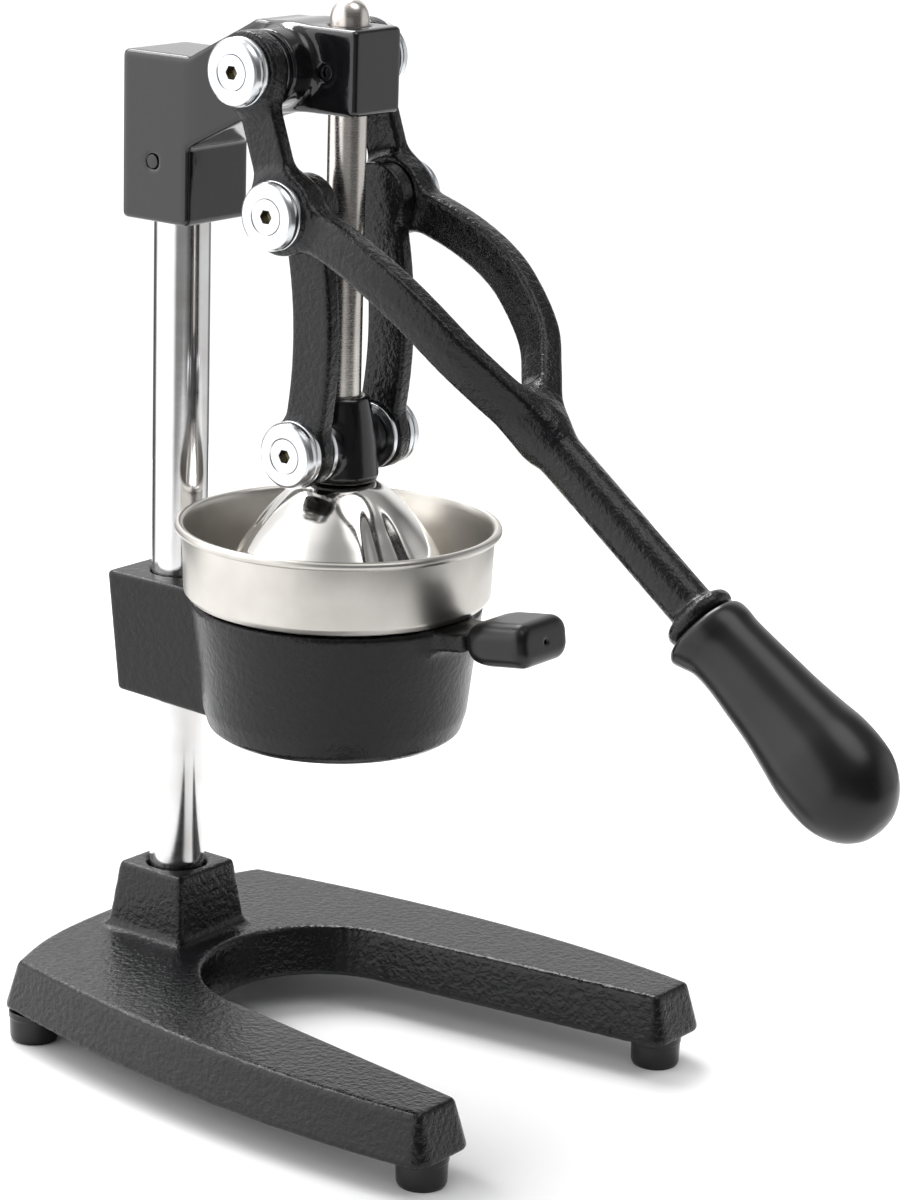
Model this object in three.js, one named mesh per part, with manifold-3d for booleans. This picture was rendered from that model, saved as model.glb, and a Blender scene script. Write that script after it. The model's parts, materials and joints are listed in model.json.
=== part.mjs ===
// Lever-operated citrus press, in millimetres, +Z up.
// The ram axis is the design's Z axis, the operator stands on the -Y side, and the
// column stands behind the ram on the +Y side. The rest pose is the lever fully down.
// The exported group is shifted along Y so that its origin is the middle of the footprint.

import * as THREE from 'three';
import { mergeVertices } from 'three/addons/utils/BufferGeometryUtils.js';
import Module from 'manifold-3d';

const wasm = await Module();
wasm.setup();

// ---------------------------------------------------------------- driving dimensions

const GAP = 0.3; // clearance between pieces that touch
const FOOTPRINT_MIDDLE_Y = -65.9; // middle of the whole press along Y, in the design frame

// base casting
const BASE_BOTTOM = 12.9;
const BASE_TOP = 32.8;
const BASE_DRAFT = 5.6; // how far the foot of each side wall stands out
const BASE_EDGE = 1.4; // chamfer along the top edge
const LEG_FRONT_Y = -114.3;
const LEG_TIP_OUTER_X = 87.6;
const LEG_TIP_INNER_X = 65.3;
const BASE_REAR_X = 73.7;
const BASE_CORNER_Y = 100.9;
const BASE_REAR_Y = 114.5;
const CUTOUT_Y = 3;
const CUTOUT_RADIUS = 49.2;
const POST_TOP = 60.7;
const POST_TOP_HALF = 16.9;
const POST_FOOT_HALF = 20.3;
const FOOT_PLACES = [
  ['front_left', -76, -107.5],
  ['front_right', 76, -107.5],
  ['rear_left', -70, 95.5],
  ['rear_right', 70, 95.5],
];

// column, ram and head
const COLUMN_Y = 81.9;
const COLUMN_RADIUS = 11.2;
const COLUMN_BOTTOM = 40;
const COLUMN_TOP = 383.5;
const RAM_RADIUS = 7.4;
const RAM_BOTTOM = 251;
const RAM_TOP = 419.7;
const HEAD_BLOCK_HALF = 18.2;
const HEAD_ARM_HALF = 13.9;
const HEAD_TOP = 409.7;
const HEAD_FRONT_Y = -14.3;
const HEAD_BLOCK_TOP = 393.1;
const HEAD_BLOCK_BOTTOM = 327.4;
const HEAD_BLOCK_REAR_Y = 97.8;
const HEAD_BLOCK_FRONT_Y = 63.9;
const HEAD_PIN_Z = 351;
const BUSH_SCREW_Z = 393;
const BUSH_TOP = 405; // under a lip of the head

// linkage: the lever turns on the axle, the links hang from its elbows
const AXLE_Y = 19.05;
const AXLE_Z = 393.7;
const CRANK_LENGTH = 54.2;
const CRANK_ANGLE = THREE.MathUtils.degToRad(18.95); // ahead of straight down, at rest
const LINK_LENGTH = 92.2;
const LINK_SAGITTA = 6.2; // how far the curved links bow to the front
const LINK_WIDTH = 18.3;
const ELBOW_Y = AXLE_Y - CRANK_LENGTH * Math.sin(CRANK_ANGLE);
const ELBOW_Z = AXLE_Z - CRANK_LENGTH * Math.cos(CRANK_ANGLE);
const YOKE_Z = ELBOW_Z - Math.sqrt(LINK_LENGTH ** 2 - ELBOW_Y ** 2);

// distances from the middle plane, where the pieces are stacked along X
const HEAD_BOSS_END = 26.2;
const AXLE_BOSS = [29, 38];
const ELBOW_BOSS = [27.2, 38];
const CRANK_PLATE = [30.3, 37];
const LINK_PLATE = [19.5, 26.8];
const ELBOW_BORE_START = 21.5; // the links' upper bores are blind
const YOKE_WASHER = [17.1, 19.2];
const YOKE_HALF = 16.8;
const CAP_THICKNESS = 6.7;
const CAP_RADIUS = 13;
const PIN_END = 37.7;
const AXLE_RADIUS = 6;
const PIN_RADIUS = 5;
const THREAD_RADIUS = 2.4;

// lever
const LEVER_SLOPE = THREE.MathUtils.degToRad(37.35); // below horizontal, at rest
const SHAFT_RADIUS = 8.9;
const SHAFT_START = 104;
const COLLAR = [210, 216.5];
const COLLAR_RADIUS = 13.8;
const TANG_RADIUS = 6;
const TANG_END = 300;

// holder, bowl and bell
const HOLDER_TOP = 188;
const HOLDER_BOTTOM = 135.2;
const BRACKET_HALF = 20.5;
const BRACKET_TOP = 184.3;
const HOLDER_SCREW_Z = 160;
const TAB_TILT = THREE.MathUtils.degToRad(8);
const TAB_ROOT = [-52.5, 183.8]; // Y and Z where the tab leaves the holder
const BOWL_RIM = 219;
const BELL_TOP = 236;
const SHEET = 1.2; // thickness of the pressed steel pieces
const LOBES = 3; // pressed lobes of the bell
const LOBE_BEARING = THREE.MathUtils.degToRad(12); // where the first crease between them lies
const LOBE_CREASE = THREE.MathUtils.degToRad(24); // half the width of a crease
const LOBE_DEPTH = 0.07; // how deep the creases go, as a share of the radius

const COARSE = 8;
const MEDIUM = 14;
const FINE = 22;
const ROUND = 30;

// ---------------------------------------------------------------- solids

// A closed geometry as a manifold solid: shared vertices merged, empty triangles dropped.
function toSolid(geometry) {
  const bare = geometry.clone();
  bare.deleteAttribute('normal');
  bare.deleteAttribute('uv');
  const merged = mergeVertices(bare, 1e-4);
  const corners = merged.index.array;
  const kept = [];
  for (let i = 0; i < corners.length; i += 3) {
    const [a, b, c] = corners.slice(i, i + 3);
    if (a !== b && b !== c && c !== a) kept.push(a, b, c);
  }
  return new wasm.Manifold(new wasm.Mesh({
    numProp: 3,
    vertProperties: new Float32Array(merged.attributes.position.array),
    triVerts: new Uint32Array(kept),
  }));
}

function toGeometry(solid) {
  const mesh = solid.getMesh();
  const geometry = new THREE.BufferGeometry();
  geometry.setAttribute('position', new THREE.BufferAttribute(mesh.vertProperties, 3));
  geometry.setIndex(new THREE.BufferAttribute(mesh.triVerts, 1));
  geometry.computeVertexNormals();
  return geometry;
}

function join(...geometries) {
  return toGeometry(geometries.map(toSolid).reduce((whole, next) => whole.add(next)));
}

function cut(body, ...tools) {
  return toGeometry(tools.map(toSolid).reduce((whole, next) => whole.subtract(next), toSolid(body)));
}

// A round bar along Z, from z0 to z1.
function barZ(radius, z0, z1, x = 0, y = 0, segments = MEDIUM) {
  const bar = new THREE.CylinderGeometry(radius, radius, z1 - z0, segments);
  bar.rotateX(Math.PI / 2);
  bar.translate(x, y, (z0 + z1) / 2);
  return bar;
}

// A round bar along X, from x0 to x1.
function barX(radius, x0, x1, y, z, segments = MEDIUM) {
  const bar = new THREE.CylinderGeometry(radius, radius, x1 - x0, segments);
  bar.rotateZ(-Math.PI / 2);
  bar.translate((x0 + x1) / 2, y, z);
  return bar;
}

// A turned piece from a profile of [radius, height], which runs with the material on its
// left. A profile that starts off the axis is closed on itself.
function turned(profile, segments) {
  const closed = profile[0][0] === 0 ? profile : [...profile, profile[0]];
  return new THREE.LatheGeometry(closed.map(([r, h]) => new THREE.Vector2(r, h)), segments);
}

// A piece turned about Z: the profile is [radius, z].
function turnZ(profile, segments = FINE) {
  return turned(profile, segments).rotateX(Math.PI / 2);
}

// A piece turned about X: the profile is [radius, x].
function turnX(profile, segments = MEDIUM) {
  return turned(profile, segments).rotateZ(-Math.PI / 2);
}

// A plate whose outline is drawn in [y, z] and which lies between x0 and x1.
function plateX(shape, x0, x1, curveSegments = 12) {
  const plate = new THREE.ExtrudeGeometry(shape, { depth: x1 - x0, bevelEnabled: false, curveSegments });
  const turn = new THREE.Matrix4().makeBasis(
    new THREE.Vector3(0, 1, 0),
    new THREE.Vector3(0, 0, 1),
    new THREE.Vector3(1, 0, 0),
  );
  plate.applyMatrix4(turn);
  plate.translate(x0, 0, 0);
  return plate;
}

function outlineOf(points) {
  return new THREE.Shape(points.map(([u, v]) => new THREE.Vector2(u, v)));
}

// A closed skin over stations of equal outlines, each placed by its own matrix.
function loft(stations) {
  const count = stations[0].outline.length;
  const positions = stations.flatMap(({ outline, frame }) => outline.flatMap(
    (point) => new THREE.Vector3(point.x, point.y, 0).applyMatrix4(frame).toArray(),
  ));
  const corners = [];
  for (let row = 0; row + 1 < stations.length; row += 1) {
    for (let column = 0; column < count; column += 1) {
      const a = row * count + column;
      const b = row * count + ((column + 1) % count);
      corners.push(a, b, b + count, a, b + count, a + count);
    }
  }
  const last = (stations.length - 1) * count;
  THREE.ShapeUtils.triangulateShape(stations[0].outline, []).forEach(([a, b, c]) => {
    corners.push(a, c, b);
  });
  THREE.ShapeUtils.triangulateShape(stations.at(-1).outline, []).forEach(([a, b, c]) => {
    corners.push(last + a, last + b, last + c);
  });
  const geometry = new THREE.BufferGeometry();
  geometry.setAttribute('position', new THREE.Float32BufferAttribute(positions, 3));
  geometry.setIndex(corners);
  geometry.computeVertexNormals();
  return geometry;
}

function frameAt(origin, xAxis, yAxis) {
  const zAxis = new THREE.Vector3().crossVectors(xAxis, yAxis);
  return new THREE.Matrix4().makeBasis(xAxis, yAxis, zAxis).setPosition(origin);
}

function ring(radius, segments) {
  return Array.from({ length: segments }, (_, i) => {
    const angle = (2 * Math.PI * i) / segments;
    return new THREE.Vector2(radius * Math.cos(angle), radius * Math.sin(angle));
  });
}

// A rectangle with chamfered corners, counterclockwise.
function chamfered(halfX, halfY, chamfer) {
  const innerX = halfX - chamfer;
  const innerY = halfY - chamfer;
  return [
    [halfX, -innerY], [halfX, innerY], [innerX, halfY], [-innerX, halfY],
    [-halfX, innerY], [-halfX, -innerY], [-innerX, -halfY], [innerX, -halfY],
  ].map(([x, y]) => new THREE.Vector2(x, y));
}

// ---------------------------------------------------------------- base

// The base outline seen from above, grown outwards by the given amount.
function baseOutline(grow) {
  const front = LEG_FRONT_Y - grow;
  const corner = BASE_CORNER_Y + grow;
  const rear = BASE_REAR_Y + grow;
  const outline = new THREE.Path();
  outline.moveTo(LEG_TIP_INNER_X - grow, front);
  outline.lineTo(LEG_TIP_OUTER_X + grow, front);
  outline.bezierCurveTo(96.5 + grow, -50, 92 + grow, 20, BASE_REAR_X + grow, corner);
  outline.bezierCurveTo(58, corner + 5.6, 48, rear, 0, rear);
  outline.bezierCurveTo(-48, rear, -58, corner + 5.6, -BASE_REAR_X - grow, corner);
  outline.bezierCurveTo(-92 - grow, 20, -96.5 - grow, -50, -LEG_TIP_OUTER_X - grow, front);
  outline.lineTo(-LEG_TIP_INNER_X + grow, front);
  outline.absarc(0, CUTOUT_Y, CUTOUT_RADIUS - grow, Math.PI, 0, true);
  return outline.getPoints(8);
}

function baseCasting() {
  const deck = loft([
    [BASE_BOTTOM, BASE_DRAFT],
    [BASE_TOP - BASE_EDGE, 0],
    [BASE_TOP, -BASE_EDGE],
  ].map(([z, grow]) => ({
    outline: baseOutline(grow),
    frame: new THREE.Matrix4().makeTranslation(0, 0, z),
  })));
  const post = loft([
    [BASE_TOP - 4, POST_FOOT_HALF],
    [BASE_TOP + 2, POST_FOOT_HALF - 0.8],
    [POST_TOP, POST_TOP_HALF],
  ].map(([z, half]) => ({
    outline: chamfered(half, half, 1.5),
    frame: new THREE.Matrix4().makeTranslation(0, COLUMN_Y, z),
  })));
  const bore = barZ(COLUMN_RADIUS + GAP, COLUMN_BOTTOM - GAP, POST_TOP + 1, 0, COLUMN_Y, FINE);
  const recess = barZ(COLUMN_RADIUS + 1.4, POST_TOP - 1.2, POST_TOP + 1, 0, COLUMN_Y, FINE);
  const boltHole = barZ(4.6, BASE_BOTTOM - 1, COLUMN_BOTTOM, 0, COLUMN_Y);
  const boltRecess = barZ(9.6, BASE_BOTTOM - 1, 23, 0, COLUMN_Y);
  const screwHoles = FOOT_PLACES.map(([, x, y]) => barZ(2.5, BASE_BOTTOM - 1, 25, x, y, COARSE));
  return cut(join(deck, post), bore, recess, boltHole, boltRecess, ...screwHoles);
}

function foot() {
  const top = BASE_BOTTOM - GAP;
  return turnZ([[5.6, 0], [9, 0], [9.5, 0.8], [10.2, top], [2.6, top], [2.6, 5], [5.6, 5]], MEDIUM);
}

function footScrew() {
  return turnZ([[0, 1.5], [4.3, 1.5], [4.8, 2.4], [4.8, 4.6], [2.2, 4.6], [2.2, 24], [0, 24]], COARSE);
}

function columnBolt() {
  const head = barZ(6.6, 14.8, 20.8, 0, 0, 6);
  const shank = barZ(4, 20, 58, 0, 0, COARSE);
  return join(head, shank);
}

function columnWasher() {
  return turnZ([[4.4, 21.1], [8.8, 21.1], [8.8, 22.7], [4.4, 22.7]], MEDIUM);
}

// ---------------------------------------------------------------- column, ram and head

function column() {
  const bar = barZ(COLUMN_RADIUS, COLUMN_BOTTOM, COLUMN_TOP, 0, 0, FINE);
  const thread = barZ(4.3, COLUMN_BOTTOM - 1, 60, 0, 0, COARSE);
  const pinHole = barX(3.3, -20, 20, 0, HEAD_PIN_Z, COARSE);
  return cut(bar, thread, pinHole);
}

function ramRod() {
  const shoulder = RAM_TOP - 8.2;
  return turnZ([
    [0, RAM_BOTTOM],
    [RAM_RADIUS, RAM_BOTTOM],
    [RAM_RADIUS, shoulder],
    [RAM_RADIUS - 0.3, shoulder + 2.4],
    [RAM_RADIUS - 1.6, shoulder + 5.2],
    [RAM_RADIUS - 4, shoulder + 7.4],
    [0, RAM_TOP],
  ], FINE);
}

function guideBush() {
  const inner = RAM_RADIUS + GAP;
  return turnZ([[inner, 377.8], [9.2, 377.8], [9.2, BUSH_TOP], [inner, BUSH_TOP]], MEDIUM);
}

// A flat outline across the middle plane, between two heights.
function panel(half, z0, z1) {
  return [[-half, z0], [half, z0], [half, z1], [-half, z1]].map(([x, z]) => new THREE.Vector2(x, z));
}

function headCasting() {
  const block = plateX(outlineOf([
    [HEAD_BLOCK_FRONT_Y, HEAD_BLOCK_BOTTOM],
    [HEAD_BLOCK_REAR_Y, HEAD_BLOCK_BOTTOM],
    [HEAD_BLOCK_REAR_Y, HEAD_BLOCK_TOP],
    [HEAD_BLOCK_FRONT_Y, HEAD_BLOCK_TOP],
  ]), -HEAD_BLOCK_HALF, HEAD_BLOCK_HALF);
  const arm = plateX(outlineOf([
    [HEAD_FRONT_Y, 377.4],
    [17, 377.2],
    [41, 370.5],
    [66, 357],
    [75, 357],
    [75, HEAD_BLOCK_TOP],
    [64.2, HEAD_BLOCK_TOP],
    [35, HEAD_TOP],
    [HEAD_FRONT_Y, HEAD_TOP],
  ]), -HEAD_ARM_HALF, HEAD_ARM_HALF);
  const along = new THREE.Vector3(1, 0, 0);
  const up = new THREE.Vector3(0, 0, 1);
  const cheeks = loft([
    [68, panel(HEAD_BLOCK_HALF, 357, HEAD_BLOCK_TOP)],
    [HEAD_BLOCK_FRONT_Y, panel(HEAD_BLOCK_HALF, 358.2, HEAD_BLOCK_TOP)],
    [38, panel(HEAD_ARM_HALF, 371.4, 407.8)],
  ].map(([y, outline]) => ({ outline, frame: frameAt(new THREE.Vector3(0, y, 0), along, up) })));
  const boss = barX(14.8, -HEAD_BOSS_END, HEAD_BOSS_END, AXLE_Y, AXLE_Z, FINE);
  return cut(
    join(block, arm, cheeks, boss),
    barZ(9.7, 370, BUSH_TOP + GAP, 0, 0, MEDIUM),
    barZ(8, 370, HEAD_TOP + 1, 0, 0, MEDIUM),
    barZ(COLUMN_RADIUS + GAP, HEAD_BLOCK_BOTTOM - 1, COLUMN_TOP + GAP, 0, COLUMN_Y, FINE),
    barX(AXLE_RADIUS + GAP, -30, 30, AXLE_Y, AXLE_Z),
    barX(3.3, -20, 20, COLUMN_Y, HEAD_PIN_Z, COARSE),
    barX(3.3, -HEAD_ARM_HALF - 1, -9, 0, BUSH_SCREW_Z, COARSE),
  );
}

// A headless socket screw along X, with its socket at the outer end.
function grubScrew(radius, length) {
  const body = barX(radius, 0, length, 0, 0, COARSE);
  const socket = barX(radius * 0.55, length - 1.8, length + 1, 0, 0, 6);
  return cut(body, socket);
}

// ---------------------------------------------------------------- pivots

function crossAxle() {
  const bar = barX(AXLE_RADIUS, -PIN_END, PIN_END, 0, 0);
  const threads = [-1, 1].map((side) => {
    const ends = [side * 26, side * (PIN_END + 1)].sort((a, b) => a - b);
    return barX(THREAD_RADIUS + GAP, ...ends, 0, 0, COARSE);
  });
  return cut(bar, ...threads);
}

function spacerRing() {
  const inner = AXLE_RADIUS + GAP;
  return turnX([[inner, 26.5], [13, 26.5], [13, 28.7], [inner, 28.7]]);
}

function pivotCap() {
  const hole = THREAD_RADIUS + 0.4;
  return turnX([
    [hole, 0],
    [CAP_RADIUS, 0],
    [CAP_RADIUS, CAP_THICKNESS - 2.2],
    [CAP_RADIUS - 0.9, CAP_THICKNESS - 0.8],
    [CAP_RADIUS - 1.8, CAP_THICKNESS],
    [7.1, CAP_THICKNESS],
    [hole, CAP_THICKNESS - 4.3],
  ], FINE);
}

function capScrew() {
  const screw = turnX([
    [0, -7],
    [THREAD_RADIUS, -7],
    [THREAD_RADIUS, CAP_THICKNESS - 4.4],
    [6.7, CAP_THICKNESS - 0.1],
    [0, CAP_THICKNESS - 0.1],
  ], MEDIUM);
  const socket = barX(2.6, CAP_THICKNESS - 2.9, CAP_THICKNESS + 1, 0, 0, 6);
  return cut(screw, socket);
}

function elbowPin() {
  const thread = THREAD_RADIUS + GAP;
  const start = ELBOW_BORE_START + GAP;
  return turnX([
    [0, start],
    [PIN_RADIUS, start],
    [PIN_RADIUS, PIN_END],
    [thread, PIN_END],
    [thread, 26],
    [0, 26],
  ]);
}

function yokePin() {
  const thread = THREAD_RADIUS + GAP;
  const [start, end] = LINK_PLATE;
  return turnX([[thread, start], [PIN_RADIUS, start], [PIN_RADIUS, end - GAP], [thread, end - GAP]]);
}

function yokeWasher() {
  const inner = PIN_RADIUS + GAP;
  const [start, end] = YOKE_WASHER;
  return turnX([[inner, start], [CAP_RADIUS, start], [CAP_RADIUS, end], [inner, end]]);
}

// ---------------------------------------------------------------- lever and links

const ACROSS = new THREE.Vector3(1, 0, 0);
const LEVER_ALONG = new THREE.Vector3(0, -Math.cos(LEVER_SLOPE), -Math.sin(LEVER_SLOPE));
const LEVER_UP = new THREE.Vector3().crossVectors(LEVER_ALONG, ACROSS);

// A point of the lever: across it, along it from the elbow, and above its middle line.
function leverPoint(across, along, above) {
  return new THREE.Vector3(0, ELBOW_Y, ELBOW_Z)
    .addScaledVector(ACROSS, across)
    .addScaledVector(LEVER_ALONG, along)
    .addScaledVector(LEVER_UP, above);
}

// A piece turned about the lever's middle line: the profile is [radius, along].
function turnLever(profile) {
  const zAxis = new THREE.Vector3().crossVectors(ACROSS, LEVER_ALONG);
  const turn = new THREE.Matrix4().makeBasis(ACROSS, LEVER_ALONG, zAxis).setPosition(leverPoint(0, 0, 0));
  return turned(profile, MEDIUM).applyMatrix4(turn);
}

// One arm of the fork: it leaves the elbow boss, arches up and comes in to the shaft.
function forkArm(side) {
  const route = new THREE.CatmullRomCurve3([
    [-2, 32.7, -3],
    [14, 33, 5],
    [32, 34.2, 10.6],
    [50, 34.2, 13.6],
    [66, 31.6, 13.8],
    [86, 25.5, 11],
    [101, 15.5, 6.5],
    [115, 5.5, 2.5],
    [130, 0, 0],
  ].map(([along, across, above]) => leverPoint(side * across, along, above)));
  const steps = 14;
  const stations = Array.from({ length: steps + 1 }, (_, i) => {
    const along = route.getTangent(i / steps);
    const up = LEVER_UP.clone().addScaledVector(along, -LEVER_UP.dot(along)).normalize();
    const across = new THREE.Vector3().crossVectors(up, along);
    return { outline: chamfered(5, 8.1, 1.8), frame: frameAt(route.getPoint(i / steps), across, up) };
  });
  return loft(stations);
}

// The flat plate between the axle boss and the elbow boss.
function crankPlate(x0, x1) {
  const half = 8.2;
  const across = [Math.cos(CRANK_ANGLE) * half, -Math.sin(CRANK_ANGLE) * half];
  return plateX(outlineOf([
    [AXLE_Y - across[0], AXLE_Z - across[1]],
    [ELBOW_Y - across[0], ELBOW_Z - across[1]],
    [ELBOW_Y + across[0], ELBOW_Z + across[1]],
    [AXLE_Y + across[0], AXLE_Z + across[1]],
  ]), x0, x1);
}

// The two ends of a span given as distances from the middle plane, on one side of it.
function onSide(side, [near, far]) {
  return side > 0 ? [near, far] : [-far, -near];
}

function leverCasting() {
  const sides = [-1, 1].flatMap((side) => [
    barX(15, ...onSide(side, AXLE_BOSS), AXLE_Y, AXLE_Z, FINE),
    barX(15.5, ...onSide(side, ELBOW_BOSS), ELBOW_Y, ELBOW_Z, FINE),
    crankPlate(...onSide(side, CRANK_PLATE)),
    forkArm(side),
  ]);
  const [collarStart, collarEnd] = COLLAR;
  const shaft = turnLever([
    [0, SHAFT_START],
    [SHAFT_RADIUS, SHAFT_START],
    [SHAFT_RADIUS, collarStart - 1],
    [COLLAR_RADIUS - 1.2, collarStart + 0.3],
    [COLLAR_RADIUS, collarStart + 2],
    [COLLAR_RADIUS, collarEnd - 1.5],
    [COLLAR_RADIUS - 1.2, collarEnd],
    [TANG_RADIUS, collarEnd],
    [TANG_RADIUS, TANG_END],
    [0, TANG_END],
  ]);
  const span = AXLE_BOSS[1] + 1;
  return cut(
    join(shaft, ...sides),
    barX(AXLE_RADIUS + GAP, -span, span, AXLE_Y, AXLE_Z),
    barX(PIN_RADIUS + GAP, -span, span, ELBOW_Y, ELBOW_Z),
  );
}

// The pear-shaped grip, with a flared lip that sits a little low at the collar.
function leverGrip() {
  const start = COLLAR[1] + GAP;
  const stations = [
    [start, 15.6, -1.9],
    [start + 2.4, 16.5, -1.8],
    [start + 6, 16.1, -0.8],
    [start + 11, 15, 0.2],
    [start + 19, 15.1, 0.7],
    [start + 30, 15.9, 0.6],
    [start + 42, 16.9, 0.5],
    [start + 54, 18.7, 0.3],
    [start + 63, 20.2, 0.2],
    [start + 72, 20.7, 0],
    [start + 80, 20, -0.2],
    [start + 87, 17.4, -0.4],
    [start + 92.5, 13.4, -0.7],
    [start + 96.5, 8, -0.9],
    [start + 98, 3, -1],
  ].map(([along, radius, above]) => ({
    outline: ring(radius, MEDIUM),
    frame: frameAt(leverPoint(0, along, above), ACROSS, LEVER_UP),
  }));
  const socket = turnLever([
    [0, start - 1],
    [TANG_RADIUS + GAP, start - 1],
    [TANG_RADIUS + GAP, TANG_END + GAP],
    [0, TANG_END + GAP],
  ]);
  return cut(loft(stations), socket);
}

// A curved link: an arc-shaped plate that bows to the front, with a round boss at each end.
// The inner edge of the lower boss is chamfered to pass over the bell.
function connectingLink(side) {
  const elbow = new THREE.Vector2(ELBOW_Y, ELBOW_Z);
  const yoke = new THREE.Vector2(0, YOKE_Z);
  const radius = (LINK_LENGTH ** 2 / 4 + LINK_SAGITTA ** 2) / (2 * LINK_SAGITTA);
  const chord = yoke.clone().sub(elbow).normalize();
  const rearward = new THREE.Vector2(-chord.y, chord.x);
  const middle = elbow.clone().add(yoke).multiplyScalar(0.5);
  const centre = middle.addScaledVector(rearward, radius - LINK_SAGITTA);
  const from = elbow.clone().sub(centre).angle();
  const to = yoke.clone().sub(centre).angle();
  const outline = new THREE.Shape();
  outline.absarc(centre.x, centre.y, radius + LINK_WIDTH / 2, from, to, false);
  outline.absarc(centre.x, centre.y, radius - LINK_WIDTH / 2, to, from, true);
  const span = onSide(side, LINK_PLATE);
  const [start, end] = LINK_PLATE;
  const lowerBoss = turnX([[0, start], [12, start], [13.5, start + 1.5], [13.5, end], [0, end]], FINE);
  if (side < 0) lowerBoss.rotateZ(Math.PI);
  lowerBoss.translate(0, 0, YOKE_Z);
  const body = join(
    plateX(outline, ...span, 10),
    barX(14, ...span, ELBOW_Y, ELBOW_Z, FINE),
    lowerBoss,
  );
  const elbowBore = onSide(side, [ELBOW_BORE_START, end + 1]);
  return cut(
    body,
    barX(PIN_RADIUS + GAP, ...elbowBore, ELBOW_Y, ELBOW_Z),
    barX(PIN_RADIUS + GAP, span[0] - 1, span[1] + 1, 0, YOKE_Z),
  );
}

// ---------------------------------------------------------------- yoke and bell

function yoke() {
  const body = turnZ([
    [0, BELL_TOP + GAP],
    [14.6, BELL_TOP + GAP],
    [15, YOKE_Z - 11.5],
    [14.2, YOKE_Z - 2],
    [12.8, YOKE_Z + 8.5],
    [11, YOKE_Z + 18],
    [10.2, YOKE_Z + 19],
    [0, YOKE_Z + 19],
  ], FINE);
  const crossBoss = barX(9.5, -YOKE_HALF, YOKE_HALF, 0, YOKE_Z, FINE);
  const screwHole = barX(2.8, 0, 16, 0, 0, COARSE);
  screwHole.rotateZ(Math.PI / 2);
  screwHole.translate(0, 0, YOKE_Z + 13);
  return cut(
    join(body, crossBoss),
    barZ(RAM_RADIUS + GAP, RAM_BOTTOM - GAP, YOKE_Z + 20),
    barZ(4.3, BELL_TOP - 1, 246, 0, 0, COARSE),
    screwHole,
  );
}

// The closed profile of a sheet: one face as a line of [radius, z], and the other face
// the given thickness to the left of it.
function sheetProfile(line, thickness) {
  const other = line.map(([r, z], i) => {
    const [r0, z0] = line[Math.max(i - 1, 0)];
    const [r1, z1] = line[Math.min(i + 1, line.length - 1)];
    const length = Math.hypot(r1 - r0, z1 - z0);
    return [r - (thickness * (z1 - z0)) / length, z + (thickness * (r1 - r0)) / length];
  });
  return [...line, ...other.reverse()];
}

// Presses creases into a round piece between its lobes, deeper away from its top.
function pressLobes(geometry, top, fullDepthBelow) {
  const position = geometry.attributes.position;
  const pitch = (2 * Math.PI) / LOBES;
  for (let i = 0; i < position.count; i += 1) {
    const x = position.getX(i);
    const y = position.getY(i);
    const fade = THREE.MathUtils.smoothstep(top - position.getZ(i), 0, fullDepthBelow);
    const turn = Math.atan2(y, x) - LOBE_BEARING;
    const offset = Math.abs(turn - pitch * Math.round(turn / pitch));
    const crease = Math.max(0, 1 - offset / LOBE_CREASE);
    const scale = 1 - LOBE_DEPTH * fade * crease;
    position.setXY(i, x * scale, y * scale);
  }
  return geometry;
}

function pressBell() {
  const outside = [
    [46.4, 180], [45.2, 190], [42.8, 200], [39.3, 207.6], [34.6, 214.6],
    [30, 220.8], [25, 226.6], [18.5, 232.6], [14.4, 235.4], [12, BELL_TOP], [4.7, BELL_TOP],
  ];
  return pressLobes(turnZ(sheetProfile(outside, SHEET), ROUND), BELL_TOP - 2, 12);
}

function bellScrew() {
  const head = turnZ([[0, 226], [7.2, 226], [8.2, 227.5], [8.2, 234.4], [0, 234.4]], MEDIUM);
  return join(head, barZ(3.9, 234, 245));
}

// ---------------------------------------------------------------- bowl, strainer and holder

function strainerBowl() {
  const outside = [
    [34, 168.8], [47.4, 168.8], [49.4, 171], [51.4, 186.4], [53, 188.5], [57, 188.8],
    [59.1, 191], [59.5, 204], [60.4, 217.4],
  ];
  const wall = turnZ(sheetProfile(outside, SHEET), ROUND);
  const bead = turnZ([
    [60.6, 215.6], [62.4, 216], [63, 217.6], [61.8, BOWL_RIM], [60, 218.8], [59.4, 217.2],
  ], ROUND);
  return join(wall, bead);
}

function strainerCone() {
  const underside = [
    [0, 210.8], [1.5, 210.8], [6, 209.2], [12, 203.5], [20, 192.5], [28, 180.5], [33.4, 171],
    [34.8, 170.3], [42, 170.3],
  ];
  return turnZ(sheetProfile(underside, SHEET), FINE);
}

const TAB_OUT = new THREE.Vector3(0, -Math.cos(TAB_TILT), Math.sin(TAB_TILT));
const TAB_UP = new THREE.Vector3().crossVectors(TAB_OUT, ACROSS);

// A bar along the tilted tab, from [distance out, half width, half height, chamfer] stations.
function tabBar(stations) {
  const [rootY, rootZ] = TAB_ROOT;
  return loft(stations.map(([out, halfX, halfZ, chamfer]) => ({
    outline: chamfered(halfX, halfZ, chamfer),
    frame: frameAt(new THREE.Vector3(0, rootY, rootZ).addScaledVector(TAB_OUT, out), ACROSS, TAB_UP),
  })));
}

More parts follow.
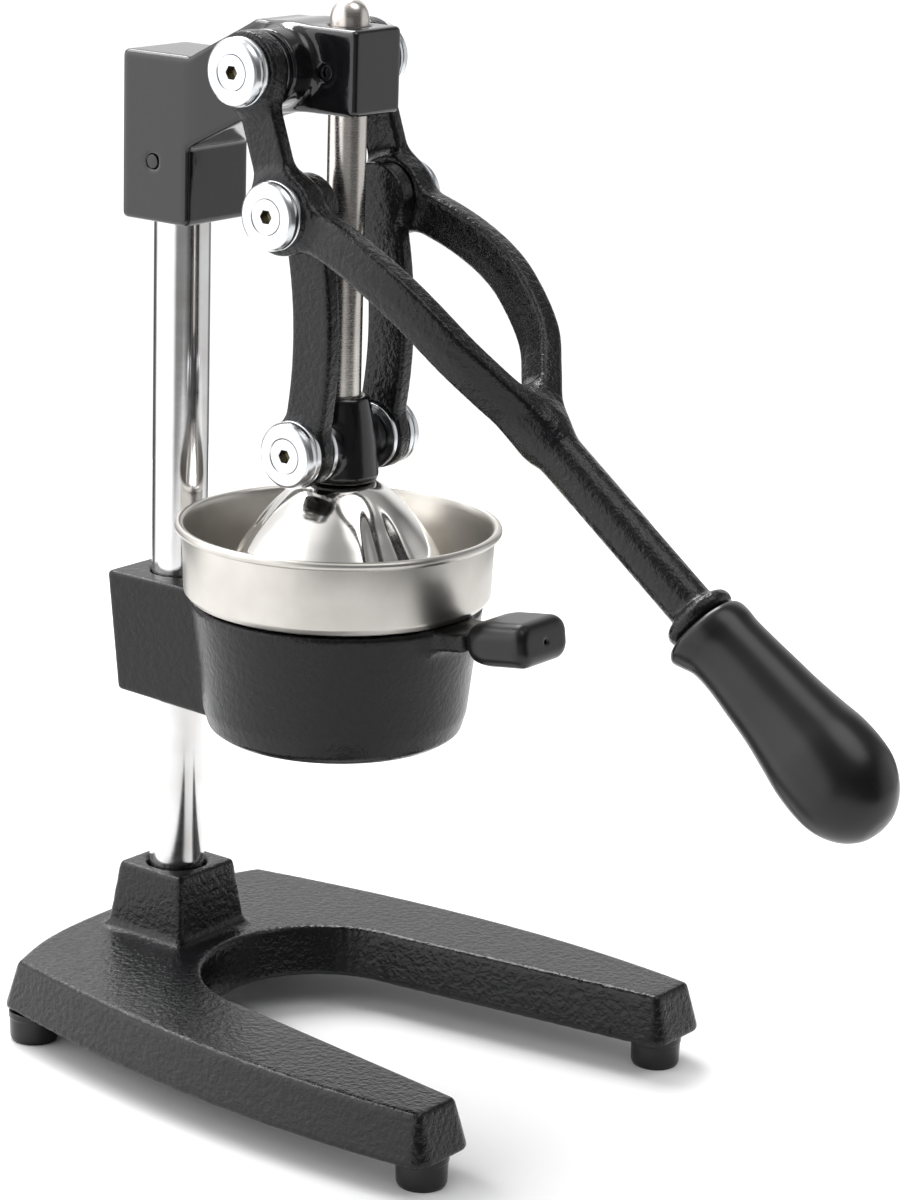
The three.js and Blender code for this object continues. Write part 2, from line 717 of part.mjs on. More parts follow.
function holderCasting() {
  const body = turnZ([
    [0, HOLDER_BOTTOM - 5.5],
    [8.6, HOLDER_BOTTOM - 5.5],
    [10, HOLDER_BOTTOM],
    [43, HOLDER_BOTTOM],
    [47.2, HOLDER_BOTTOM + 0.8],
    [50, HOLDER_BOTTOM + 3.2],
    [51.6, HOLDER_BOTTOM + 8],
    [53.4, HOLDER_BOTTOM + 20],
    [57, HOLDER_TOP],
    [0, HOLDER_TOP],
  ], ROUND);
  const bracket = plateX(outlineOf([
    [46, 133.6],
    [97, 135.5],
    [103, BRACKET_TOP],
    [46, BRACKET_TOP],
  ]), -BRACKET_HALF, BRACKET_HALF);
  const lug = tabBar([[-6, 13, 3.7, 1.2], [19.7, 13, 3.7, 1.2]]);
  const tongue = tabBar([[18, 10.5, 3, 0.8], [43.2, 10.5, 3, 0.8]]);
  const cavity = turnZ([
    [0, HOLDER_BOTTOM + 3.6],
    [7, HOLDER_BOTTOM + 4.4],
    [43, HOLDER_BOTTOM + 8],
    [47.6, HOLDER_BOTTOM + 12.5],
    [49.7, HOLDER_BOTTOM + 20],
    [52.9, HOLDER_TOP + 0.1],
    [52.9, HOLDER_TOP + 1],
    [0, HOLDER_TOP + 1],
  ], ROUND);
  const screwHole = barX(3.3, 0, 20, 0, 0, COARSE);
  screwHole.rotateZ(Math.PI / 2);
  screwHole.translate(0, COLUMN_Y, HOLDER_SCREW_Z);
  return cut(
    join(body, bracket, lug, tongue),
    cavity,
    barZ(5.6, HOLDER_BOTTOM - 7, HOLDER_BOTTOM + 6, 0, 0, MEDIUM),
    barZ(COLUMN_RADIUS + GAP, HOLDER_BOTTOM - 1, HOLDER_TOP + 1, 0, COLUMN_Y, FINE),
    screwHole,
  );
}

function tabGrip() {
  const sleeve = tabBar([
    [20, 14.4, 7.4, 3], [22.4, 15.4, 8.4, 3.4], [45.2, 15.2, 8.6, 3.6], [48.6, 13.6, 7, 3],
  ]);
  const socket = tabBar([[19, 10.8, 3.3, 0.8], [43.6, 10.8, 3.3, 0.8]]);
  return cut(sleeve, socket);
}

// ---------------------------------------------------------------- finishes and assembly

const FINISHES = {
  enamel: { color: 0x141517, roughness: 0.38, metalness: 0 },
  gloss: { color: 0x101113, roughness: 0.2, metalness: 0 },
  satin: { color: 0x1b1c1e, roughness: 0.5, metalness: 0 },
  rubber: { color: 0x121214, roughness: 0.75, metalness: 0 },
  chrome: { color: 0xc9cbce, roughness: 0.14, metalness: 1 },
  brushed: { color: 0xb9b5ae, roughness: 0.34, metalness: 1 },
  polished: { color: 0xd2d0cb, roughness: 0.1, metalness: 1 },
  zinc: { color: 0xc4c8cb, roughness: 0.3, metalness: 1 },
  brass: { color: 0x9a7f45, roughness: 0.4, metalness: 1 },
};

const assembly = new THREE.Group();

function addPiece(name, geometry, finish, place = [0, 0, 0], turn = 0) {
  const mesh = new THREE.Mesh(geometry, new THREE.MeshStandardMaterial(FINISHES[finish]));
  mesh.name = name;
  mesh.position.set(...place);
  mesh.rotation.z = turn;
  assembly.add(mesh);
}

function addBase() {
  addPiece('base_casting', baseCasting(), 'enamel');
  FOOT_PLACES.forEach(([place, x, y]) => {
    addPiece(`foot_${place}`, foot(), 'rubber', [x, y, 0]);
    addPiece(`foot_screw_${place}`, footScrew(), 'zinc', [x, y, 0]);
  });
  addPiece('column', column(), 'chrome', [0, COLUMN_Y, 0]);
  addPiece('column_bolt', columnBolt(), 'zinc', [0, COLUMN_Y, 0]);
  addPiece('column_washer', columnWasher(), 'zinc', [0, COLUMN_Y, 0]);
}

function addHead() {
  addPiece('head_casting', headCasting(), 'gloss');
  addPiece('head_pin', barX(3, -18, 18, 0, 0, COARSE), 'gloss', [0, COLUMN_Y, HEAD_PIN_Z]);
  addPiece('guide_bush', guideBush(), 'brass');
  addPiece('bush_screw', grubScrew(3, 3.8), 'zinc', [-9.6, 0, BUSH_SCREW_Z], Math.PI);
  addPiece('ram_rod', ramRod(), 'chrome');
}

function addHolder() {
  addPiece('holder_casting', holderCasting(), 'satin');
  addPiece('holder_screw', grubScrew(3, 5), 'zinc', [0, COLUMN_Y + 11.6, HOLDER_SCREW_Z], Math.PI / 2);
  addPiece('tab_grip', tabGrip(), 'rubber');
  addPiece('strainer_bowl', strainerBowl(), 'brushed');
  addPiece('strainer_cone', strainerCone(), 'brushed');
}

function addLever() {
  addPiece('lever_casting', leverCasting(), 'enamel');
  addPiece('lever_grip', leverGrip(), 'rubber');
  addPiece('cross_axle', crossAxle(), 'zinc', [0, AXLE_Y, AXLE_Z]);
}

function addRam() {
  addPiece('yoke', yoke(), 'gloss');
  addPiece('yoke_screw', grubScrew(2.5, 3.4), 'zinc', [0, RAM_RADIUS + GAP, YOKE_Z + 13], Math.PI / 2);
  addPiece('press_bell', pressBell(), 'polished');
  addPiece('bell_screw', bellScrew(), 'zinc');
}

// Everything that stands on the pivots, once for each side.
function addPivots(label, side) {
  const turn = side > 0 ? 0 : Math.PI;
  const axle = [0, AXLE_Y, AXLE_Z];
  const elbow = [0, ELBOW_Y, ELBOW_Z];
  const low = [0, 0, YOKE_Z];
  addPiece(`spacer_ring_${label}`, spacerRing(), 'zinc', axle, turn);
  addPiece(`connecting_link_${label}`, connectingLink(side), 'enamel');
  addPiece(`elbow_pin_${label}`, elbowPin(), 'zinc', elbow, turn);
  addPiece(`yoke_pin_${label}`, yokePin(), 'zinc', low, turn);
  addPiece(`yoke_washer_${label}`, yokeWasher(), 'zinc', low, turn);
  const capStart = AXLE_BOSS[1] + GAP;
  [
    ['axle', capStart, axle],
    ['elbow', capStart, elbow],
    ['yoke', LINK_PLATE[1] + GAP, low],
  ].forEach(([pivot, x, [, y, z]]) => {
    addPiece(`${pivot}_cap_${label}`, pivotCap(), 'zinc', [side * x, y, z], turn);
    addPiece(`${pivot}_cap_screw_${label}`, capScrew(), 'zinc', [side * x, y, z], turn);
  });
}

addBase();
addHead();
addHolder();
addLever();
addRam();
addPivots('left', -1);
addPivots('right', 1);

assembly.position.y = -FOOTPRINT_MIDDLE_Y;
const press = new THREE.Group();
press.add(assembly);

export default press;
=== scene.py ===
"""The look of the citrus press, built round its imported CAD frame.

The castings are distance fields turned into meshes, which gives them the soft fillets of
cast iron; the turned and pressed pieces are revolved. Shapes are drawn in millimetres with
the ram axis as the Z axis, the column on the +Y side and the lever on the -Y side.
"""

import json
import math

import bmesh
import bpy
import numpy as np
from mathutils import Matrix, Vector


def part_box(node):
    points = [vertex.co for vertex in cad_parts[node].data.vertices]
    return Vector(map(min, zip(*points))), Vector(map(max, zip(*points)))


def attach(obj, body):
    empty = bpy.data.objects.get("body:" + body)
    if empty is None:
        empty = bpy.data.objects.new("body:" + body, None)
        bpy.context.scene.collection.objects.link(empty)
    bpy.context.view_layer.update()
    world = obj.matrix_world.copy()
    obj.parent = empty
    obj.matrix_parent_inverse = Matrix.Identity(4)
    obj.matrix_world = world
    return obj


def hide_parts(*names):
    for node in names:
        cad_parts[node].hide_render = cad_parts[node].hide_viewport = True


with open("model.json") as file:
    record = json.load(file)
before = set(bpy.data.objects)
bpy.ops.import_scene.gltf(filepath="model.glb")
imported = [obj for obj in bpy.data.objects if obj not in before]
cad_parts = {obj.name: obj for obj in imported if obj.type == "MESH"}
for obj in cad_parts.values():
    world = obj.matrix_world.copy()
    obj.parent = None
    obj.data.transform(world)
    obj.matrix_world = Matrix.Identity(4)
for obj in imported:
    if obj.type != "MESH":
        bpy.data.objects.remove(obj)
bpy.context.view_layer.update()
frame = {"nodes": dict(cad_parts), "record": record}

MM = 0.001
RAM_LOW, RAM_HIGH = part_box("ram_rod")
RAM_Y = (RAM_LOW.y + RAM_HIGH.y) / 2  # the ram axis in the frame, in metres

RECORD = frame["record"]
BODY_OF = {n: b for b, nodes in RECORD["behaviour"]["bodies"].items() for n in nodes}
SIDES = {"left": -1, "right": 1}


def centre(node):
    """The middle of a CAD node's box, in millimetres from the ram axis."""
    low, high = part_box(node)
    middle = (low + high) / 2 / MM
    return np.array([middle.x, middle.y - RAM_Y / MM, middle.z])


AXLE = centre("cross_axle")[1:]
ELBOW = centre("elbow_pin_left")[1:]
YOKE = centre("yoke_pin_left")[1:]
COLUMN_Y = centre("column")[1]
COLUMN_RADIUS = 11.2
COLUMN_BORE = 11.5
RAM_RADIUS = 7.4
AXLE_BORE = 6.3
PIN_BORE = 5.3
DISC_RADIUS = 13  # of caps, spacers and washers
SHEET = 1.2  # the thickness of the bell and the bowl
HEAD_PIN_Z = 351
BUSH_SCREW_Z = 393
LEVER_SLOPE = math.radians(37.35)
GRIP_START = 216.8  # along the lever, from the elbow
TAB_TILT = math.radians(8)
TAB_ROOT = (-52.5, 183.8)  # in Y and Z


# ------------------------------------------------------------------ distance fields


class Grid:
    """A regular grid of points, as three arrays that broadcast against each other."""

    def __init__(self, low, high, step):
        self.low, self.step = np.array(low, float), step
        axes = [np.arange(a, b + step, step) for a, b in zip(low, high)]
        self.x = axes[0][:, None, None]
        self.y = axes[1][None, :, None]
        self.z = axes[2][None, None, :]


def smooth_min(a, b, reach):
    """The nearer of two fields, with a fillet where they meet."""
    blend = np.maximum(reach - np.abs(a - b), 0) / reach
    return np.minimum(a, b) - blend * blend * reach / 4


def smooth_max(a, b, reach):
    """Where two fields overlap, with a fillet where they meet."""
    return -smooth_min(-a, -b, reach)


def both(a, b, radius):
    """Where two fields overlap, with the edge between them rounded."""
    u, v = a + radius, b + radius
    outside = np.hypot(np.maximum(u, 0), np.maximum(v, 0))
    return outside + np.minimum(np.maximum(u, v), 0) - radius


def polygon(u, v, points):
    """Signed distance to a closed outline."""
    u, v = np.broadcast_arrays(u, v)
    best = np.full(u.shape, np.inf)
    inside = np.zeros(u.shape, bool)
    for (u0, v0), (u1, v1) in zip(points, np.roll(points, -1, axis=0)):
        du, dv = u1 - u0, v1 - v0
        along = np.clip(((u - u0) * du + (v - v0) * dv) / (du * du + dv * dv), 0, 1)
        best = np.minimum(best, (u - u0 - along * du) ** 2 + (v - v0 - along * dv) ** 2)
        if dv:
            crosses = ((v0 <= v) != (v1 <= v)) & (u < u0 + (v - v0) * du / dv)
            inside ^= crosses
    return np.where(inside, -1, 1) * np.sqrt(best)


def rounded(points, radius, closed=True, steps=6):
    """An outline with its corners turned into arcs; an open one keeps its two ends."""
    points = [np.array(p, float) for p in points]
    corners = list(zip(points[-1:] + points[:-1], points, points[1:] + points[:1]))
    out = []
    for n, (before, corner, after) in enumerate(corners):
        a, b = before - corner, after - corner
        la, lb = np.linalg.norm(a), np.linalg.norm(b)
        half = math.acos(np.clip(a @ b / la / lb, -1, 1)) / 2
        end = not closed and n in (0, len(corners) - 1)
        if end or half > math.radians(86):
            out.append(corner)
            continue
        reach = min(radius / math.tan(half), la * 0.45, lb * 0.45)
        first, last = corner + a / la * reach, corner + b / lb * reach
        for t in np.linspace(0, 1, steps):
            out.append((1 - t) ** 2 * first + 2 * t * (1 - t) * corner + t * t * last)
    return np.array(out)


def spline(points, per=6):
    """A smooth line through every point (Catmull-Rom)."""
    p = np.array(points, float)
    p = np.concatenate([[2 * p[0] - p[1]], p, [2 * p[-1] - p[-2]]])
    out = []
    for n in range(1, len(p) - 2):
        p0, p1, p2, p3 = p[n - 1 : n + 3]
        for t in np.arange(per) / per:
            out.append(
                0.5 * (2 * p1 + (p2 - p0) * t + (2 * p0 - 5 * p1 + 4 * p2 - p3) * t**2
                       + (3 * p1 - p0 - 3 * p2 + p3) * t**3)
            )
    return np.array(out + [p[-2]])


def smoothstep(value, low, high):
    """0 below low, 1 above high and a soft ramp between them."""
    t = np.clip((value - low) / (high - low), 0, 1)
    return t * t * (3 - 2 * t)


def disc(u, v, cu, cv, radius):
    """Signed distance to a circle round cu, cv."""
    return np.hypot(u - cu, v - cv) - radius


def slab(w, low, high):
    """Signed distance to the layer between low and high."""
    return np.abs(w - (low + high) / 2) - (high - low) / 2


def bar_x(g, place, radius, low, high, edge=0):
    """A round bar along X at the given Y and Z, with its ends rounded by edge."""
    return both(disc(g.y, g.z, *place, radius), slab(g.x, low, high), edge)


def bar_z(g, y, radius, low, high):
    """A round bar along Z on the middle plane, with square ends."""
    return both(disc(g.x, g.y, 0, y, radius), slab(g.z, low, high), 0)


def skin(field, grid):
    """The surface where a field is zero, as points and quads: one point in each grid cell
    that the surface crosses, at the mean of the crossings on the cell's edges."""
    inside = field < 0
    shape = tuple(n - 1 for n in field.shape)
    offsets = [(i, j, k) for i in (0, 1) for j in (0, 1) for k in (0, 1)]
    count = sum(
        inside[i : i + shape[0], j : j + shape[1], k : k + shape[2]].astype(np.int8)
        for i, j, k in offsets
    )
    cells = np.argwhere((count > 0) & (count < 8))
    number = np.full(shape, -1, np.int64)
    number[tuple(cells.T)] = np.arange(len(cells))
    corner = {o: field[tuple((cells + o).T)] for o in offsets}
    total, crossings = np.zeros((len(cells), 3)), np.zeros(len(cells))
    for axis in range(3):
        for start in (o for o in offsets if o[axis] == 0):
            end = tuple(v + (n == axis) for n, v in enumerate(start))
            a, b = corner[start], corner[end]
            crossed = (a < 0) != (b < 0)
            at = np.tile(np.array(start, float), (len(cells), 1))
            at[:, axis] = np.where(crossed, a / np.where(crossed, a - b, 1), 0)
            total += at * crossed[:, None]
            crossings += crossed
    points = grid.low + grid.step * (cells + total / crossings[:, None])
    quads = []
    for axis in range(3):
        u, v = (axis + 1) % 3, (axis + 2) % 3
        low, high = [slice(1, -1)] * 3, [slice(1, -1)] * 3
        low[axis], high[axis] = slice(0, -1), slice(1, None)
        first, second = inside[tuple(low)], inside[tuple(high)]
        for flips, order in ((first & ~second, 1), (~first & second, -1)):
            edges = np.argwhere(flips)
            edges[:, [u, v]] += 1
            ring = []
            for du, dv in ((-1, -1), (0, -1), (0, 0), (-1, 0))[::order]:
                cell = edges.copy()
                cell[:, u] += du
                cell[:, v] += dv
                ring.append(number[tuple(cell.T)])
            quads.append(np.stack(ring, axis=1))
    quads = np.concatenate(quads)
    return relaxed(points, quads), quads


def relaxed(points, quads, rounds=3):
    """The points of a skin, each drawn towards the mean of its neighbours, which takes out
    the steps that the grid leaves along slanting edges."""
    start, end = quads.ravel(), np.roll(quads, -1, axis=1).ravel()
    neighbours = np.bincount(start, minlength=len(points))
    for _ in range(rounds):
        near = [np.bincount(start, points[end, k], len(points)) / neighbours for k in range(3)]
        points = 0.5 * points + 0.5 * np.stack(near, axis=1)
    return points


# ------------------------------------------------------------------ pieces


def add_piece(name, points, faces, look, nodes, crisp=40, turning=None):
    """A mesh piece from points in millimetres. It stands for CAD nodes of one body and rides
    with that body. turning is where each point lies on the lathe that made it, for the
    marks that a tool leaves round a piece."""
    mesh = bpy.data.meshes.new(name)
    placed = np.asarray(points, float) * MM + np.array([0, RAM_Y, 0])
    mesh.from_pydata(placed.tolist(), [], [[int(i) for i in face] for face in faces])
    if turning is not None:
        marks = mesh.attributes.new("turning", "FLOAT_VECTOR", "POINT")
        marks.data.foreach_set("vector", np.asarray(turning, np.float32).ravel())
    piece = bpy.data.objects.new(name, mesh)
    bpy.context.scene.collection.objects.link(piece)
    mesh.materials.append(look)
    mesh.shade_smooth()
    mesh.set_sharp_from_angle(angle=math.radians(crisp))
    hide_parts(*nodes)
    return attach(piece, BODY_OF[nodes[0]])


def add_casting(name, grid, field, look, nodes, place=None):
    """A piece from a distance field. place maps the grid's points to the press."""
    points, quads = skin(field, grid)
    if place:
        points = place(points)
    return add_piece(name, points, quads, look, nodes, crisp=60)


def revolve(profile, steps=96, shape=None):
    """Points, faces and lathe places of a profile of [radius, height] turned about Z. A
    profile that starts on the axis also ends on it; any other is closed on itself."""
    profile = np.asarray(profile, float)
    solid = profile[0][0] < 1e-6
    rim = profile[1:-1] if solid else profile
    travel = np.concatenate([[0], np.cumsum(np.linalg.norm(np.diff(rim, axis=0), axis=1))])
    angle = np.arange(steps) * 2 * math.pi / steps
    points = np.array([(r * math.cos(a), r * math.sin(a), h) for r, h in rim for a in angle])
    turning = [(math.cos(a), math.sin(a), s) for s in travel for a in angle]
    rows = len(rim)
    faces = []
    for row in range(rows - 1 if solid else rows):
        low, high = row * steps, (row + 1) % rows * steps
        for i in range(steps):
            j = (i + 1) % steps
            faces.append((low + i, low + j, high + j, high + i))
    if solid:
        count, last = len(points), (rows - 1) * steps
        points = np.concatenate([points, [(0, 0, profile[0][1]), (0, 0, profile[-1][1])]])
        turning += [(0, 0, travel[0]), (0, 0, travel[-1])]
        for i in range(steps):
            j = (i + 1) % steps
            faces += [(count, j, i), (count + 1, last + i, last + j)]
    return (shape(points) if shape else points), faces, turning


def upright(x, y):
    """Turned pieces whose axis stands at x, y."""
    return lambda points: points + np.array([x, y, 0])


def across(side, place):
    """Turned pieces laid over, so that their height runs outwards along X."""
    return lambda points: np.stack(
        [side * points[:, 2], place[0] + side * points[:, 0], place[1] + points[:, 1]], axis=1
    )


def outwards(side, place, start):
    """The same, for pieces whose height is counted from a distance start off the middle."""
    put = across(side, place)
    return lambda points: put(points + [0, 0, start])


def rearward(z, y):
    """Turned pieces laid over, so that their height runs to the rear along Y."""
    return lambda points: np.stack([points[:, 0], y + points[:, 2], z - points[:, 1]], axis=1)


def add_turned(name, profile, look, nodes, place, steps=96, shape=None):
    """A turned piece. shape changes the upright points, and place puts them on the press."""
    points, faces, turning = revolve(profile, steps, shape)
    return add_piece(name, place(points), faces, look, nodes, turning=turning)


def hexagon(across_flats):
    """Presses the part of a turned piece that lies inside the given size into a hexagon."""

    def shape(points):
        x, y = points[:, 0], points[:, 1]
        radius, sector = np.hypot(x, y), math.pi / 3
        bearing = np.mod(np.arctan2(y, x), sector) - sector / 2
        pull = np.where(radius < across_flats * 0.56, 1 / np.cos(bearing), 1)
        return points * np.stack([pull, pull, np.ones_like(pull)], axis=1)

    return shape


def sheet(line, thickness):
    """The closed profile of a pressed sheet: an outer line, and its copy moved inwards."""
    line = np.asarray(line, float)
    slope = np.gradient(line, axis=0)
    slope /= np.linalg.norm(slope, axis=1)[:, None]
    inner = line + thickness * np.stack([-slope[:, 1], slope[:, 0]], axis=1)
    return line, inner[::-1]


def turned_field(grid, profile, pitch=0.25):
    """The distance field of a profile of [radius, z] turned about the ram axis, read from a
    table with a row for every pitch of radius."""
    radius = np.hypot(grid.x, grid.y)[:, :, 0]
    samples = np.arange(0, radius.max() + 1, pitch)
    mirrored = np.concatenate([profile, np.array(profile)[-2:0:-1] * [-1, 1]])
    outline = mirrored if profile[0][0] == 0 else profile
    table = polygon(samples[:, None], grid.z[0, 0][None, :], outline)
    low = np.floor(radius / pitch).astype(int)
    share = (radius / pitch - low)[:, :, None]
    return table[low] * (1 - share) + table[low + 1] * share


# ------------------------------------------------------------------ looks


class Tree:
    """A node tree, built one node at a time."""

    def __init__(self, tree):
        self.tree = tree

    def add(self, kind, inputs=(), **settings):
        """A new node. inputs are numbers, colours or other nodes' sockets."""
        node = self.tree.nodes.new(kind)
        for key, value in settings.items():
            setattr(node, key, value)
        for key, value in dict(inputs).items():
            if isinstance(value, bpy.types.NodeSocket):
                self.tree.links.new(value, node.inputs[key])
            else:
                node.inputs[key].default_value = value
        return node


class Nodes(Tree):
    """A material's node tree."""

    def __init__(self, name):
        self.look = bpy.data.materials.new(name)
        self.look.use_nodes = True
        super().__init__(self.look.node_tree)
        self.shader = self.tree.nodes["Principled BSDF"]

    def noise(self, where, scale, detail=2.0, roughness=0.5):
        sockets = {"Vector": where, "Scale": scale, "Detail": detail, "Roughness": roughness}
        return self.add("ShaderNodeTexNoise", sockets).outputs["Fac"]

    def spread(self, value, low, high, start=0.3, end=0.7):
        """The value's range start to end, spread over low to high."""
        sockets = {"Value": value, "From Min": start, "From Max": end, "To Min": low, "To Max": high}
        return self.add("ShaderNodeMapRange", sockets).outputs["Result"]

    def mix(self, share, first, second):
        """The first colour where share is 0 and the second where it is 1."""
        colors = [c if isinstance(c, bpy.types.NodeSocket) else (*c, 1) for c in (first, second)]
        node = self.add("ShaderNodeMix", {0: share, 6: colors[0], 7: colors[1]}, data_type="RGBA")
        return node.outputs[2]

    def bump(self, height, strength, distance, under=None):
        """The normal of a relief, laid over the normal under it."""
        sockets = {"Height": height, "Strength": strength, "Distance": distance}
        if under:
            sockets["Normal"] = under
        return self.add("ShaderNodeBump", sockets).outputs["Normal"]

    def finish(self, color, roughness, normal=None, **fixed):
        """The material. fixed are the shader's numbers that are the same all over."""
        links = self.tree.links
        links.new(color, self.shader.inputs["Base Color"])
        links.new(roughness, self.shader.inputs["Roughness"])
        if normal:
            links.new(normal, self.shader.inputs["Normal"])
        for key, value in fixed.items():
            self.shader.inputs[key.replace("_", " ")].default_value = value
        return self.look

    def place(self):
        return self.add("ShaderNodeTexCoord").outputs["Object"]

    def lathe(self):
        """Where a point lies on the lathe: its direction from the axis, and its travel
        along the profile in millimetres."""
        return self.add("ShaderNodeAttribute", attribute_name="turning").outputs["Vector"]

    def turning(self, round_scale, along_scale):
        """Where a point lies on the lathe, stretched round the piece."""
        stretch = {"Vector": self.lathe(), "Scale": (round_scale, round_scale, along_scale)}
        return self.add("ShaderNodeMapping", stretch).outputs["Vector"]


def painted(name, dark, light, roughness, peel, coarse, shine):
    """Black paint over a casting. peel and coarse are the heights, in metres, of the fine
    orange peel of the paint and of the sand-cast skin under it, and shine is the strength
    of its reflections."""
    n = Nodes(name)
    place = n.place()
    cast = n.noise(place, 420, 3, 0.6)
    fine = n.noise(place, 1300, 2)
    wide = n.noise(place, 38, 2)
    rough = n.spread(wide, *roughness)
    skin_normal = n.bump(n.spread(cast, 0, 1, 0.35, 0.65), 1.0, coarse)
    normal = n.bump(fine, 1.0, peel, skin_normal)
    color = n.mix(n.spread(cast, 0, 1, 0.3, 0.7), dark, light)
    return n.finish(color, rough, normal, Specular_IOR_Level=shine)


def rubber(name):
    """Moulded rubber with a fine grain, shinier in the patches that hands have worn."""
    n = Nodes(name)
    place = n.place()
    grain = n.noise(place, 2200, 2)
    worn = n.noise(place, 24, 3)
    color = n.mix(n.spread(worn, 0, 1), (0.004, 0.004, 0.0045), (0.006, 0.006, 0.007))
    normal = n.bump(grain, 0.6, 0.00002)
    return n.finish(color, n.spread(worn, 0.24, 0.32), normal, Specular_IOR_Level=0.38)


def metal(name, light, dark, roughness, lines, depth, painted_shade_past=0):
    """Bare or plated metal with tool marks round the piece. lines is how many of them
    there are for a millimetre, and depth is their height in metres. Past the given travel
    along its profile the colour is darkened, as painted shade in a recess."""
    n = Nodes(name)
    marks = n.noise(n.turning(0.6, lines), 1.0, 4, 0.6)
    cloud = n.noise(n.place(), 60, 3)
    fine = n.noise(n.place(), 1600, 2)
    color = n.mix(n.spread(cloud, 0, 1), light, dark)
    # Painted shade: the colour turns a dark brown past the given travel along the profile.
    if painted_shade_past:
        travel = n.add("ShaderNodeSeparateXYZ", {"Vector": n.lathe()}).outputs["Z"]
        socket_shade = n.spread(travel, 0, 1, painted_shade_past, painted_shade_past + 0.4)
        color = n.mix(socket_shade, color, (0.3, 0.28, 0.22))
    rough = n.spread(marks, *roughness)
    normal = n.bump(fine, 0.4, depth * 0.5, n.bump(marks, 1.0, depth))
    return n.finish(color, rough, normal, Metallic=1.0)


ENAMEL = painted(
    "enamel", dark=(0.005, 0.005, 0.006), light=(0.008, 0.008, 0.009),
    roughness=(0.1, 0.18), peel=0.00002, coarse=0.00018, shine=0.3,
)
GLOSS = painted(
    "gloss_black", dark=(0.005, 0.005, 0.006), light=(0.007, 0.007, 0.008),
    roughness=(0.07, 0.12), peel=0.00001, coarse=0.00002, shine=0.6,
)
SATIN = painted(
    "satin_black", dark=(0.006, 0.006, 0.006), light=(0.009, 0.009, 0.009),
    roughness=(0.22, 0.32), peel=0.00003, coarse=0.0001, shine=0.26,
)
RUBBER = rubber("rubber")
CHROME = metal(
    "bright_steel", light=(0.72, 0.72, 0.73), dark=(0.62, 0.61, 0.60),
    roughness=(0.08, 0.17), lines=6.0, depth=0.000005,
)
GROUND = metal(
    "ground_steel", light=(0.68, 0.65, 0.61), dark=(0.57, 0.53, 0.50),
    roughness=(0.18, 0.3), lines=5.0, depth=0.000006,
)
BRUSHED = metal(
    "brushed_steel", light=(0.56, 0.54, 0.51), dark=(0.49, 0.47, 0.44),
    roughness=(0.28, 0.4), lines=9.0, depth=0.00001,
)
POLISHED = metal(
    "polished_steel", light=(0.86, 0.84, 0.81), dark=(0.78, 0.76, 0.73),
    roughness=(0.08, 0.15), lines=4.0, depth=0.000002,
)
ZINC_FINISH = {
    "light": (0.70, 0.71, 0.73), "dark": (0.63, 0.65, 0.68),
    "roughness": (0.2, 0.27), "lines": 7.0, "depth": 0.000002,
}
ZINC = metal("zinc_plate", **ZINC_FINISH)
# The screw's hex socket, past 19.9 mm of travel, is darkened as painted shade.
STUD = metal("zinc_screw", **ZINC_FINISH, painted_shade_past=19.9)
BLACKENED = metal(
    "blackened_steel", light=(0.07, 0.07, 0.075), dark=(0.05, 0.05, 0.055),
    roughness=(0.25, 0.4), lines=5.0, depth=0.000004,
)
BRASS = metal(
    "bearing_brass", light=(0.45, 0.32, 0.12), dark=(0.36, 0.25, 0.10),
    roughness=(0.3, 0.45), lines=5.0, depth=0.000006,
)


# ------------------------------------------------------------------ base


def base_outline():
    """Half of the base seen from above is drawn, and the other half is its mirror."""

    def bezier(p0, p1, p2, p3, count):
        t = np.linspace(0, 1, count)[:, None]
        p0, p1, p2, p3 = (np.array(p, float) for p in (p0, p1, p2, p3))
        return (1 - t) ** 3 * p0 + 3 * t * (1 - t) ** 2 * p1 + 3 * t * t * (1 - t) * p2 + t**3 * p3

    side = bezier((87.6, -114.3), (96.5, -50), (92, 20), (73.7, 100.9), 14)
    rear = bezier((73.7, 100.9), (58, 106.5), (48, 114.5), (0, 114.5), 12)[1:]
    turn = np.linspace(math.pi / 2, 0, 14)
    inner = np.stack([49.2 * np.cos(turn), 3 + 49.2 * np.sin(turn)], axis=1)
    right = np.concatenate([inner, [(65.3, -114.3)], side, rear[:-1]])
    left = right[::-1] * [-1, 1]
    ring = np.concatenate([right, [(0, 114.5)], left[:-1]])
    return rounded(ring, 2.2, steps=4)


def add_base():
    """The forked base. Its walls and its post lean inwards as they rise."""
    top, bottom, post_top = 32.8, 12.9, 60.7
    draft, lean, corner = 5.5, 0.122, 1.8
    g = Grid((-99, -122, 11.5), (99, 122.5, 63), 1.0)
    plan = polygon(g.x[:, :, 0], g.y[:, :, 0], base_outline())[:, :, None]
    slope = 0.963  # from the level distance to the leaning wall to the shortest one
    wall = (plan - draft * (top - g.z) / (top - bottom)) * slope
    deck = both(wall, slab(g.z, bottom, top), 1.5)
    half = 16.9 + (post_top - g.z) * lean
    square = both(np.abs(g.x) - half, np.abs(g.y - COLUMN_Y) - half, corner)
    whole = smooth_min(deck, both(square, slab(g.z, 25, post_top), 1.3), 4.5)
    recess = bar_z(g, COLUMN_Y, 12.6, 59.5, 70)
    socket = bar_z(g, COLUMN_Y, 11.6, 40, 70)
    bolt = bar_z(g, COLUMN_Y, 9.6, 0, 23)
    for hollow in (recess, socket, bolt):
        whole = smooth_max(whole, -hollow, 0.8)
    add_casting("base_shell", g, whole, ENAMEL, ["base_casting"])


def add_feet():
    profile = rounded(
        [(0, 1.2), (4.9, 1.2), (5.4, 0), (9.0, 0), (9.6, 1.6), (9.9, 9.6), (10.2, 10.1),
         (10.2, 12.6), (0, 12.6)],
        0.7, closed=False,
    )
    for corner in ("front_left", "front_right", "rear_left", "rear_right"):
        x, y, _ = centre("foot_" + corner)
        add_turned("foot_pad_" + corner, profile, RUBBER, ["foot_" + corner], upright(x, y), 64)


